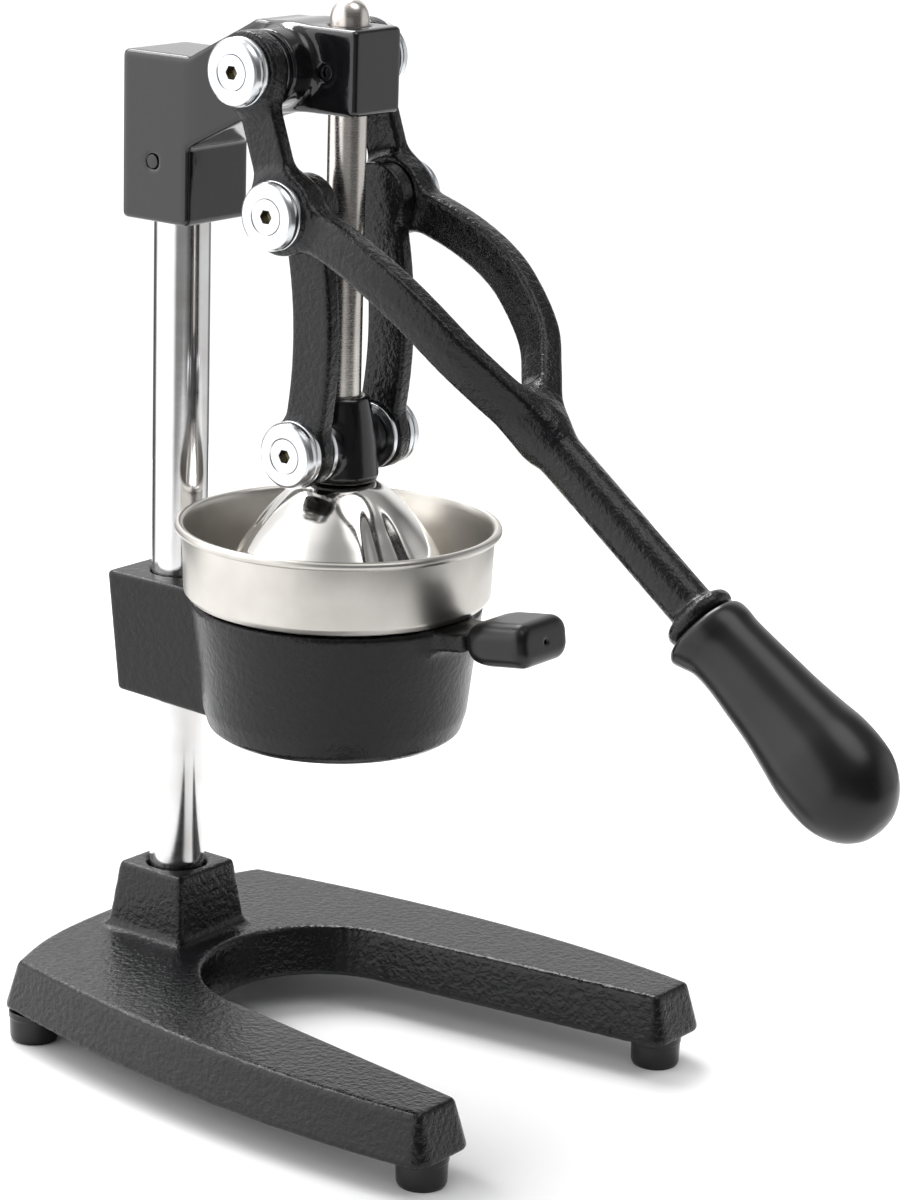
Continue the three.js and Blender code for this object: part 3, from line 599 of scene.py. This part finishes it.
# ------------------------------------------------------------------ column, ram and head


def add_column():
    bottom, top = 40, 383.5
    line = [(0, bottom), (COLUMN_RADIUS, bottom), (COLUMN_RADIUS, top), (0, top)]
    bar = rounded(line, 1, closed=False)
    half = len(bar) // 2
    rings = [(COLUMN_RADIUS, z) for z in (120, 240, 340)]
    bar = np.concatenate([bar[:half], rings, bar[half:]])
    add_turned("column_bar", bar, CHROME, ["column"], upright(0, COLUMN_Y))


def add_ram():
    low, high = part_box("ram_rod")
    bottom, top = low.z / MM, high.z / MM
    dome = [
        (RAM_RADIUS, top - 8.6), (7.25, top - 6.6), (6.7, top - 4.4), (5.6, top - 2.4),
        (3.8, top - 0.9), (1.6, top - 0.1),
    ]
    profile = [(0, bottom), (RAM_RADIUS, bottom), (RAM_RADIUS, 300), (RAM_RADIUS, 350)]
    profile = np.concatenate([profile, spline(dome, 3), [(0, top)]])
    add_turned("ram_bar", profile, GROUND, ["ram_rod"], upright(0, 0))


def add_guide_bush():
    low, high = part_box("guide_bush")
    bottom, top = low.z / MM, high.z / MM
    inner, outer = 7.7, 9.2
    ring = [(inner, bottom), (outer, bottom), (outer, top), (inner, top)]
    add_turned("bush_ring", rounded(ring, 0.3), BRASS, ["guide_bush"], upright(0, 0))


def add_head():
    top, block_top, bottom = 409.7, 393.1, 327.4
    side_view = rounded(
        [(-14.3, 377.4), (14, 377.1), (26, 375.2), (41.2, 370.3), (63.9, 357.8), (63.9, bottom),
         (97.8, bottom), (97.8, block_top), (64.2, block_top), (35, top), (-14.3, top)],
        2.2,
    )
    g = Grid((-28, -16.5, 325.5), (28, 100, 411.5), 0.75)
    half = 13.9 + 4.3 * smoothstep(g.y, 36, 66)
    outline = polygon(g.y[0][:, :], g.z[0][:, :], side_view)[None]
    body = both(outline, (np.abs(g.x) - half) * 0.99, 2.0)
    boss = bar_x(g, AXLE, 14.8, -26.2, 26.2, 0.8)
    whole = smooth_min(body, boss, 5)
    hollows = [
        bar_x(g, AXLE, AXLE_BORE, -40, 40),
        bar_z(g, 0, 8.0, 370, 420),
        bar_z(g, 0, 9.5, 370, 405.3),
        bar_z(g, COLUMN_Y, COLUMN_BORE, 300, 383.8),
        bar_x(g, (COLUMN_Y, HEAD_PIN_Z), 2.85, -40, 40),
        bar_x(g, (0, BUSH_SCREW_Z), 3.2, -40, -9),
    ]
    for hollow in hollows:
        whole = smooth_max(whole, -hollow, 0.7)
    add_casting("head_shell", g, whole, GLOSS, ["head_casting"])


def add_head_pin():
    pin = rounded([(0, -18.1), (2.7, -18.1), (2.7, 18.1), (0, 18.1)], 0.3, closed=False)
    add_turned("head_pin_bar", pin, GLOSS, ["head_pin"], across(1, (COLUMN_Y, HEAD_PIN_Z)), 48)


def grub(length, radius=3.0):
    """A headless screw with a hexagon socket in its outer end."""
    socket = 1.6
    return rounded(
        [(0, 0), (radius, 0), (radius, length), (socket, length), (socket, length - 2),
         (0, length - 2)],
        0.35, closed=False,
    )


def add_grubs():
    key = hexagon(3.2)
    low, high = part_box("bush_screw")
    start, length = -high.x / MM, (high.x - low.x) / MM
    place = outwards(-1, (0, BUSH_SCREW_Z), start)
    add_turned("bush_grub", grub(length), BLACKENED, ["bush_screw"], place, 48, key)
    for node, name in (("yoke_screw", "yoke_grub"), ("holder_screw", "holder_grub")):
        low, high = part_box(node)
        length, radius = (high.y - low.y) / MM, (high.x - low.x) / MM / 2
        z, y = (low.z + high.z) / 2 / MM, (low.y - RAM_Y) / MM
        add_turned(name, grub(length, radius), ZINC, [node], rearward(z, y), 48, key)


# ------------------------------------------------------------------ lever

ALONG = np.array([-math.cos(LEVER_SLOPE), -math.sin(LEVER_SLOPE)])  # in Y and Z, from the elbow
ABOVE = np.array([-math.sin(LEVER_SLOPE), math.cos(LEVER_SLOPE)])


def lever_place(points):
    """Points given as along, across and above the lever's middle line, put on the press."""
    along, side, above = np.asarray(points, float).T
    plane = ELBOW + along[:, None] * ALONG + above[:, None] * ABOVE
    return np.stack([side, plane[:, 0], plane[:, 1]], axis=1)


def fork_arm(along, side, above):
    """The distance field of one fork arm, which swells a little to its parting line."""
    half_width, half_height, swell = 5.8, 8.1, 1.3
    route = spline(
        [(-2, 32.7, -3), (14, 33, 5), (32, 34.2, 10.6), (50, 34.2, 13.6), (66, 31.6, 13.8),
         (86, 25.5, 11), (101, 15.5, 6.5), (115, 5.5, 2.5), (130, 0, 0)], 5,
    )
    best = np.full(np.broadcast_shapes(along.shape, side.shape, above.shape), np.inf)
    field = best.copy()
    for start, end in zip(route[:-1], route[1:]):
        step = end - start
        length = np.linalg.norm(step)
        step /= length
        up = np.array([0, 0, 1]) - step[2] * step
        up /= np.linalg.norm(up)
        out = np.cross(step, up)
        du, ds, dv = along - start[0], side - start[1], above - start[2]
        t = np.clip(du * step[0] + ds * step[1] + dv * step[2], 0, length)
        du, ds, dv = du - t * step[0], ds - t * step[1], dv - t * step[2]
        reach = du * du + ds * ds + dv * dv
        p = np.abs(du * out[0] + ds * out[1] + dv * out[2])
        q = np.abs(du * up[0] + ds * up[1] + dv * up[2])
        r = np.abs(du * step[0] + ds * step[1] + dv * step[2])
        section = both(p - half_width + swell * q / half_height, q - half_height, 1.7)
        near = reach < best
        field = np.where(near, np.hypot(section, r * (section > 0)) * np.sign(section), field)
        best = np.minimum(best, reach)
    return field


def add_lever():
    """The lever's left half is a field, and the right half is its mirror."""
    axle = AXLE - ELBOW
    axle_at = (axle @ ALONG, axle @ ABOVE)
    g = Grid((-63, -0.8, -19), (219, 41.5, 48), 0.8)
    u, a, v = g.x, g.y, g.z
    arms = np.full(np.broadcast_shapes(u.shape, a.shape, v.shape), 50.0)
    reach = slice(*np.searchsorted(u.ravel(), (-16, 146)))
    crotch = slice(*np.searchsorted(u.ravel(), (70, 146)))
    arms[reach] = fork_arm(u[reach], a, v)
    arms[crotch] = smooth_min(arms[crotch], fork_arm(u[crotch], -a, v), 7)
    arms = smooth_max(arms, slab(a, 27.2, 38) - 60 * smoothstep(u, 12, 22), 0.4)
    arms = smooth_max(smooth_max(arms, u - 127, 9), -7 - u, 2)
    dy, dz = axle / np.linalg.norm(axle)
    tilt = np.array([dy * ALONG[0] + dz * ALONG[1], dy * ABOVE[0] + dz * ABOVE[1]])
    t = np.clip(u * tilt[0] + v * tilt[1], 0, np.linalg.norm(axle))
    plate = both(np.hypot(u - t * tilt[0], v - t * tilt[1]) - 8.2, slab(a, 30.3, 37), 1.4)
    bosses = [
        both(disc(u, v, *axle_at, 15), slab(a, 29, 38), 1.2),
        both(disc(u, v, 0, 0, 15.5), slab(a, 27.2, 38), 1.2),
    ]
    shaft = both(np.hypot(a, v - 0.2) - 8.9, slab(u, 104, 214), 1)
    collar = both(np.hypot(a, v) - 13.8, slab(u, 209.8, 216.5), 3.2)
    whole = smooth_min(smooth_min(plate, bosses[0], 5), bosses[1], 5)
    whole = smooth_min(smooth_min(whole, arms, 5), shaft, 7)
    whole = smooth_min(whole, collar, 2.5)
    bores = [disc(u, v, *axle_at, AXLE_BORE), np.maximum(disc(u, v, 0, 0, PIN_BORE), 20 - a)]
    for bore in bores:
        whole = smooth_max(whole, -bore, 0.8)
    mirrored = np.concatenate([whole[:, :1:-1], whole[:, 1:]], axis=1)
    g.low[1] = -(a.size - 2) * g.step
    add_casting("lever_shell", g, mirrored, ENAMEL, ["lever_casting"], lever_place)


def add_grip():
    """The grip's round sections, given as distance along it, radius and height."""
    length = 97.4
    stations = [
        (0, 14.6, -1.9), (0.5, 15.6, -1.9), (2.4, 16.5, -1.8), (6, 16.0, -0.8), (11, 15.0, 0.2),
        (19, 15.1, 0.7), (30, 16.0, 0.8), (42, 17.1, 0.8), (54, 18.9, 0.6), (63, 20.4, 0.5),
        (72, 20.8, 0.3), (80, 20, 0), (86.6, 17.4, -0.4), (92, 13.4, -0.7), (95.9, 8, -0.9),
        (97.3, 3, -1),
    ]
    line = spline(stations, 4)
    steps = 72
    angle = np.arange(steps) * 2 * math.pi / steps
    across_lever, up = -np.cos(angle), np.sin(angle)
    rings = [
        np.stack([np.full(steps, GRIP_START + s), r * across_lever, above + r * up], axis=1)
        for s, r, above in line
    ]
    ends = [(GRIP_START, 0, stations[0][2]), (GRIP_START + length, 0, stations[-1][2])]
    points = np.concatenate(rings + [ends])
    faces, last, count = [], (len(rings) - 1) * steps, len(rings) * steps
    for row in range(len(rings) - 1):
        for i in range(steps):
            j = (i + 1) % steps
            low, high = row * steps, (row + 1) * steps
            faces.append((low + i, low + j, high + j, high + i))
    for i in range(steps):
        j = (i + 1) % steps
        faces += [(count, j, i), (count + 1, last + i, last + j)]
    add_piece("grip_sleeve", lever_place(points), faces, RUBBER, ["lever_grip"], crisp=70)


# ------------------------------------------------------------------ pivots and links

CAP = rounded(
    [(3.2, 0), (DISC_RADIUS, 0), (DISC_RADIUS, 2.3), (12.55, 2.45), (12.55, 2.75), (12.9, 2.9),
     (12.9, 4.7), (12.1, 6.1), (11.2, 6.7), (7.15, 6.7), (3.2, 2.7)],
    0.25, steps=3,
)
CAP_SCREW = rounded(
    [(0, -6.8), (2.3, -6.8), (2.3, 2.2), (6.75, 6.55), (2.45, 6.55), (2.45, 2.4), (0, 2.4)],
    0.15, closed=False, steps=3,
)


def ring(bore, start, end):
    """The profile of a flat ring between two distances from the middle plane."""
    return rounded([(bore, start), (DISC_RADIUS, start), (DISC_RADIUS, end), (bore, end)], 0.4)


def add_caps():
    """The caps and their screws on both sides of the three pivots."""
    for side, sign in SIDES.items():
        for pivot in ("axle", "elbow", "yoke"):
            node, screw = f"{pivot}_cap_{side}", f"{pivot}_cap_screw_{side}"
            low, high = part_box(node)
            inner = min(abs(low.x), abs(high.x)) / MM
            place = outwards(sign, centre(node)[1:], inner)
            add_turned(f"{pivot}_disc_{side}", CAP, ZINC, [node], place)
            add_turned(
                f"{pivot}_stud_{side}", CAP_SCREW, STUD, [screw], place, shape=hexagon(4.9)
            )
        spacer, washer = ring(6.4, 26.5, 28.7), ring(5.4, 17.1, 19.2)
        axle, yoke = across(sign, AXLE), across(sign, YOKE)
        add_turned(f"spacer_{side}", spacer, ZINC, [f"spacer_ring_{side}"], axle)
        add_turned(f"washer_{side}", washer, ZINC, [f"yoke_washer_{side}"], yoke)


def add_links():
    """Two mirrored links, each an arc from the elbow down to the yoke with a boss at each
    end. The lower boss stands back from the washer and the bell."""
    low, low_boss, high = 18.3, 19.5, 26.8
    g = Grid((17.3, -26, 234.5), (27.8, 17.5, 358.5), 0.6)
    chord = YOKE - ELBOW
    length, sagitta = np.linalg.norm(chord), 6.2
    radius = (length**2 / 4 + sagitta**2) / (2 * sagitta)
    back = np.array([-chord[1], chord[0]]) / length
    middle = (ELBOW + YOKE) / 2 + back * (radius - sagitta)
    y, z = g.y[0][:, :], g.z[0][:, :]
    sweep = [math.atan2(*(p - middle)[::-1]) % (2 * math.pi) for p in (ELBOW, YOKE)]
    bearing = np.arctan2(z - middle[1], y - middle[0]) % (2 * math.pi)
    within = (bearing > min(sweep)) & (bearing < max(sweep))
    band = np.abs(np.hypot(y - middle[0], z - middle[1]) - radius)
    ends = np.minimum(disc(y, z, *ELBOW, 0), disc(y, z, *YOKE, 0))
    band = np.where(within, band, ends)[None] - 9.15
    arm = both(band, slab(g.x, low + 0.5, high - 0.5), 1.6)
    whole = smooth_min(arm, both(disc(g.y, g.z, *ELBOW, 14), slab(g.x, low, high), 1.2), 3)
    whole = smooth_min(whole, both(disc(g.y, g.z, *YOKE, 13.5), slab(g.x, low_boss, high), 1.4), 3)
    whole = smooth_max(whole, -np.maximum(disc(g.y, g.z, *YOKE, 13.8), g.x - low_boss), 0.5)
    blind = np.maximum(disc(g.y, g.z, *ELBOW, PIN_BORE), 21.5 - g.x)
    for bore in (blind, disc(g.y, g.z, *YOKE, PIN_BORE)):
        whole = smooth_max(whole, -bore, 0.6)
    points, quads = skin(whole, g)
    for side, sign in SIDES.items():
        place, faces = points * [sign, 1, 1], quads[:, ::sign]
        add_piece(f"link_{side}", place, faces, ENAMEL, [f"connecting_link_{side}"], 60)


# ------------------------------------------------------------------ yoke and bell


def add_yoke():
    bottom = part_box("yoke")[0].z / MM
    profile = rounded(
        [(0, bottom), (14.6, bottom), (15, bottom + 2.6), (14, 249.6), (12.6, 259.4),
         (10.9, 268.2), (10.2, 269.2), (0, 269.2)],
        1.0, closed=False,
    )
    g = Grid((-18.5, -17, bottom - 1.2), (18.5, 17, 271), 0.55)
    body = turned_field(g, profile)
    whole = smooth_min(body, bar_x(g, YOKE, 9.5, -16.8, 16.8, 0.8), 4)
    whole = smooth_max(whole, -bar_z(g, 0, 7.7, 250.7, 290), 0.8)
    whole = smooth_max(whole, -both(disc(g.x, g.z, 0, YOKE[1] + 13, 2.8), -g.y + 5, 0), 0.5)
    add_casting("yoke_shell", g, whole, GLOSS, ["yoke"])


BELL_LINE = [
    (46.4, 180), (45.2, 190), (42.8, 200), (39.3, 207.6), (34.6, 214.6), (30, 220.8), (25, 226.6),
    (18.5, 232.6), (14.4, 235.2), (12, 236),
]


def press_lobes(points):
    """Presses three broad valleys into the bell, deeper towards its rim."""
    x, y, z = points.T
    first, apart, depth = 12, 120, 0.07
    bearing = np.degrees(np.arctan2(y, x))
    off_valley = np.abs(np.mod(bearing - first + apart / 2, apart) - apart / 2)
    valley = 1 - smoothstep(off_valley, 6, 19)
    fade = smoothstep(234 - z, 0, 14)
    pull = 1 - depth * valley * fade
    return points * np.stack([pull, pull, np.ones_like(pull)], axis=1)


def add_bell():
    line = np.concatenate([spline(BELL_LINE, 5), [(8, 236), (4.7, 236)]])
    outer, inner = sheet(line, SHEET)
    profile = rounded(np.concatenate([outer, inner]), 0.4, steps=3)
    add_turned("bell_shell", profile, POLISHED, ["press_bell"], upright(0, 0), 240, press_lobes)


def add_bell_screw():
    bolt = rounded(
        [(0, 228.5), (2.6, 228.5), (2.6, 226), (7.2, 226), (8.2, 227.5), (8.2, 234.4),
         (3.9, 234.4), (3.9, 245), (0, 245)],
        0.5, closed=False,
    )
    add_turned("bell_bolt", bolt, ZINC, ["bell_screw"], upright(0, 0), 60, hexagon(5.2))


# ------------------------------------------------------------------ bowl, cone and holder


def add_bowl():
    wall = rounded(
        [(34, 168.8), (47.4, 168.8), (49.6, 171), (51.6, 187), (53.4, 189), (57.8, 189.4),
         (59.8, 192), (60.2, 204), (60.7, 215.4)],
        1.6, closed=False, steps=5,
    )
    outer, inner = sheet(wall, SHEET)
    rim_radius, rim_height, roll = 61.65, 217.25, 1.75
    turn = np.radians(np.linspace(-125, 170, 16))
    bead = np.stack([rim_radius + roll * np.cos(turn), rim_height + roll * np.sin(turn)], axis=1)
    profile = np.concatenate([outer, bead, inner])
    add_turned("bowl_shell", profile, BRUSHED, ["strainer_bowl"], upright(0, 0), 200)


def pierce(mesh, put, corners, low, high, start, pitch):
    """One cell of the cone's sheet with a round hole. low and high are the radius and the
    height of its two rows, and start and pitch are its bearing and its width."""
    ring = 8
    (r0, z0), (r1, z1) = low, high
    middle_r, middle_z = (r0 + r1) / 2, (z0 + z1) / 2
    slant = math.hypot(r1 - r0, z1 - z0)
    size = min(1.5, 0.3 * slant, 0.34 * middle_r * pitch)
    hole = []
    for k in range(ring):
        turn = 2 * math.pi * (k + 0.5) / ring - math.pi * 0.75
        out = size * math.sin(turn) / slant
        angle = start + pitch / 2 + size * math.cos(turn) / middle_r
        hole.append(put(middle_r + (r1 - r0) * out, angle, middle_z + (z1 - z0) * out))
    per = ring // 4
    for side in range(4):
        chain = [hole[(side * per + k) % ring] for k in range(per + 1)]
        mesh.faces.new([corners[side], *chain, corners[(side + 1) % 4]][::-1])


def add_cone():
    """The perforated cone: a grid of pierced cells with a closed tip and a plain skirt. The
    sheet is then given its thickness."""
    line = spline([(6, 209.6), (12, 204.1), (20, 193.1), (28, 181.1), (33, 172.6)], 2)
    columns = 24
    pitch = 2 * math.pi / columns
    mesh = bmesh.new()
    spoke = np.arange(columns) * 2 * math.pi / columns
    following = [(i, (i + 1) % columns) for i in range(columns)]

    def put(radius, angle, z):
        x, y = radius * math.cos(angle) * MM, radius * math.sin(angle) * MM + RAM_Y
        return mesh.verts.new((x, y, z * MM))

    rows = [[put(r, a, z) for a in spoke] for r, z in line]
    for row in range(len(rows) - 1):
        lower, upper = rows[row], rows[row + 1]
        for i, j in following:
            corners = [lower[i], lower[j], upper[j], upper[i]]
            pierce(mesh, put, corners, line[row], line[row + 1], spoke[i], pitch)
    tip = put(0, 0, 211.4)
    cap = [put(3, a, 211.0) for a in spoke]
    for i, j in following:
        mesh.faces.new([tip, cap[i], cap[j]])
        mesh.faces.new([cap[i], rows[0][i], rows[0][j], cap[j]])
    skirt = rows[-1]
    for r, z in ((34.8, 171.0), (38, 170.9), (42, 170.9)):
        lower = [put(r, a, z) for a in spoke]
        for i, j in following:
            mesh.faces.new([skirt[i], lower[i], lower[j], skirt[j]])
        skirt = lower
    bmesh.ops.recalc_face_normals(mesh, faces=mesh.faces)
    points = np.array([v.co for v in mesh.verts]) / MM - [0, RAM_Y / MM, 0]
    mesh.verts.index_update()
    faces = [[v.index for v in f.verts] for f in mesh.faces]
    mesh.free()
    cone = add_piece("cone_sheet", points, faces, BRUSHED, ["strainer_cone"], crisp=50)
    thick = cone.modifiers.new("thickness", "SOLIDIFY")
    thick.thickness, thick.offset = 1.1 * MM, 0


def tab_frame(g):
    """Distance out along the tilted tab and height above its middle line."""
    y, z = g.y - TAB_ROOT[0], g.z - TAB_ROOT[1]
    out = -y * math.cos(TAB_TILT) + z * math.sin(TAB_TILT)
    above = y * math.sin(TAB_TILT) + z * math.cos(TAB_TILT)
    return out, above


def add_holder():
    """The funnel with its spout, the bracket that clamps the column, and the tab in front."""
    g = Grid((-59, -102, 127.5), (59, 105.5, 190), 0.9)
    outside = rounded(
        [(0, 129.7), (8.6, 129.7), (10, 135), (45.5, 135), (49.7, 137.9), (51.8, 145.2),
         (53.6, 162), (57, 188), (0, 188)],
        1.6, closed=False,
    )
    inside = rounded(
        [(0, 138.8), (7, 139.6), (43, 143.2), (47.6, 147.7), (49.7, 155.2), (52.9, 188.1),
         (52.9, 200), (0, 200)],
        1.5, closed=False,
    )
    side_view = rounded([(40, 133.4), (96.9, 135.5), (102.9, 184.3), (40, 184.3)], 1.4)
    outline = polygon(g.y[0][:, :], g.z[0][:, :], side_view)[None]
    bracket = both(outline, np.abs(g.x) - 20.5, 1.5)
    whole = smooth_min(turned_field(g, outside), bracket, 5)
    out, above = tab_frame(g)
    lug = both(both(np.abs(g.x) - 13, np.abs(above) - 3.7, 1.4), slab(out, -6, 19.7), 1)
    tongue = both(both(np.abs(g.x) - 10.5, np.abs(above) - 3, 0.8), slab(out, 15, 43.2), 0.8)
    whole = np.minimum(smooth_min(whole, lug, 6), tongue)
    hollows = [
        turned_field(g, inside),
        bar_z(g, 0, 5.6, 100, 140),
        bar_z(g, COLUMN_Y, COLUMN_BORE, 100, 200),
        both(disc(g.x, g.z, 0, 160, 3.3), -g.y + COLUMN_Y, 0),
    ]
    for hollow in hollows:
        whole = smooth_max(whole, -hollow, 0.9)
    add_casting("holder_shell", g, whole, SATIN, ["holder_casting"])


def add_tab_grip():
    g = Grid((-17, -103.5, 177.7), (17, -69.5, 201.7), 0.55)
    out, above = tab_frame(g)
    thick = 7.4 + 1.2 * smoothstep(out, 20, 30)
    wide = 14.2 + 1.1 * smoothstep(out, 20, 30)
    section = both(np.abs(g.x) - wide, np.abs(above) - thick, 6.6)
    sleeve = both(section, slab(out, 20, 48.6), 4.6)
    eye = np.maximum(disc(g.x, above, 0, 0, 1.0), 45.2 - out)
    socket = both(both(np.abs(g.x) - 10.8, np.abs(above) - 3.3, 0.8), slab(out, 0, 43.6), 0.5)
    whole = smooth_max(smooth_max(sleeve, -socket, 0.4), -eye, 0.4)
    add_casting("tab_sleeve", g, whole, RUBBER, ["tab_grip"])


# ------------------------------------------------------------------ stage


def add_floor():
    mesh = bpy.data.meshes.new("floor")
    reach = 0.8
    corners = [(-reach, -reach, 0), (reach, -reach, 0), (reach, reach, 0), (-reach, reach, 0)]
    mesh.from_pydata(corners, [], [(0, 1, 2, 3)])
    floor = bpy.data.objects.new("floor", mesh)
    bpy.context.scene.collection.objects.link(floor)
    n = Nodes("pale_floor")
    cloud = n.noise(n.place(), 3, 2)
    color = n.mix(cloud, (0.82, 0.82, 0.82), (0.85, 0.85, 0.85))
    mesh.materials.append(n.finish(color, n.spread(cloud, 0.55, 0.65)))


def add_light(name, place, aim, size, power):
    light = bpy.data.lights.new(name, "AREA")
    light.shape, light.size, light.size_y, light.energy = "RECTANGLE", *size, power
    lamp = bpy.data.objects.new(name, light)
    bpy.context.scene.collection.objects.link(lamp)
    lamp.location = place
    lamp.rotation_mode = "QUATERNION"
    lamp.rotation_quaternion = (Vector(aim) - Vector(place)).to_track_quat("-Z", "Y")


DIM = 0.12  # the studio's brightness away from its bright parts
BACKDROP = 1.1  # the brightness of the backdrop as the camera sees it

# Bright parts of the studio: the direction they lie in, where they start and are full as
# the cosine of the angle from it, and how much they add.
WORLD_LOBES = [
    ((-0.82, 0.57, 0.0), 0.55, 0.8, 1.65),
    ((0.82, -0.57, -0.1), 0.75, 0.93, 0.7),
    ((0.76, 0.57, 0.31), 0.75, 0.95, 0.9),
    ((-0.8, -0.6, -0.2), 0.85, 0.97, 0.18),
    ((0.0, 0.0, 1.0), 0.3, 0.9, 0.3),
    ((0.12, -0.4, 0.91), 0.9, 0.985, 2.6),
    ((-0.25, 0.7, 0.66), 0.5, 0.9, 0.9),
]


def add_world():
    """A studio that is bright on the left and above, and dim elsewhere. The backdrop itself
    is white."""
    world = bpy.data.worlds.new("studio")
    bpy.context.scene.world = world
    world.use_nodes = True
    tree = Tree(world.node_tree)
    where = tree.add("ShaderNodeTexCoord").outputs["Generated"]
    strength = DIM
    for toward, start, end, amount in WORLD_LOBES:
        aim = {0: where, 1: Vector(toward).normalized()}
        dot = tree.add("ShaderNodeVectorMath", aim, operation="DOT_PRODUCT")
        share = {"Value": dot.outputs["Value"], "From Min": start, "From Max": end, "To Max": amount}
        ramp = tree.add("ShaderNodeMapRange", share, interpolation_type="SMOOTHSTEP")
        total = tree.add("ShaderNodeMath", {0: ramp.outputs["Result"], 1: strength})
        strength = total.outputs["Value"]
    seen = tree.add("ShaderNodeLightPath").outputs["Is Camera Ray"]
    backdrop = tree.add("ShaderNodeMix", {"Factor": seen, "A": strength, "B": BACKDROP})
    background = world.node_tree.nodes["Background"]
    background.inputs["Color"].default_value = (1, 1, 1, 1)
    world.node_tree.links.new(backdrop.outputs["Result"], background.inputs["Strength"])


def add_camera():
    """The main view: from the left and the front, a little above the press."""
    forward = Vector((0.7684, 0.5807, -0.2689)).normalized()
    level = Vector((0.603, -0.798, 0)).normalized()
    up = level.cross(forward)
    roll = math.radians(1.756)
    right = math.cos(roll) * level + math.sin(roll) * up
    up = right.cross(forward)
    camera = bpy.data.cameras.new("camera")
    camera.lens, camera.sensor_width, camera.sensor_fit = 108.3, 36, "AUTO"
    camera.clip_start, camera.clip_end = 0.05, 60
    view = bpy.data.objects.new("camera", camera)
    bpy.context.scene.collection.objects.link(view)
    place = Vector((-1.0508, -0.8512 + RAM_Y, 0.5661))
    turned = Matrix((right, up, -forward)).transposed().to_4x4()
    view.matrix_world = Matrix.Translation(place) @ turned
    bpy.context.scene.camera = view


def carry(look, *nodes):
    """CAD nodes whose shape is right as it is, with a finish."""
    for node in nodes:
        mesh = frame["nodes"][node].data
        mesh.materials.clear()
        mesh.materials.append(look)


add_camera()
add_world()
add_floor()
add_light("key", (0.8, 1.3, 2.2), (0, 0, 0), (1.1, 1.1), 42)
add_light("fill", (-0.3, 1.4, 2.0), (0, 0, 0), (1.1, 1.1), 20)

add_base()
add_feet()
add_column()
add_ram()
add_guide_bush()
add_head()
add_head_pin()
add_grubs()
add_lever()
add_grip()
add_caps()
add_links()
add_yoke()
add_bell()
add_bell_screw()
add_bowl()
add_cone()
add_holder()
add_tab_grip()
carry(ZINC, "column_bolt", "column_washer", "cross_axle")
carry(ZINC, *(n for n in frame["nodes"] if n.startswith(("foot_screw", "elbow_pin", "yoke_pin"))))

bpy.context.scene.view_settings.view_transform = "Standard"
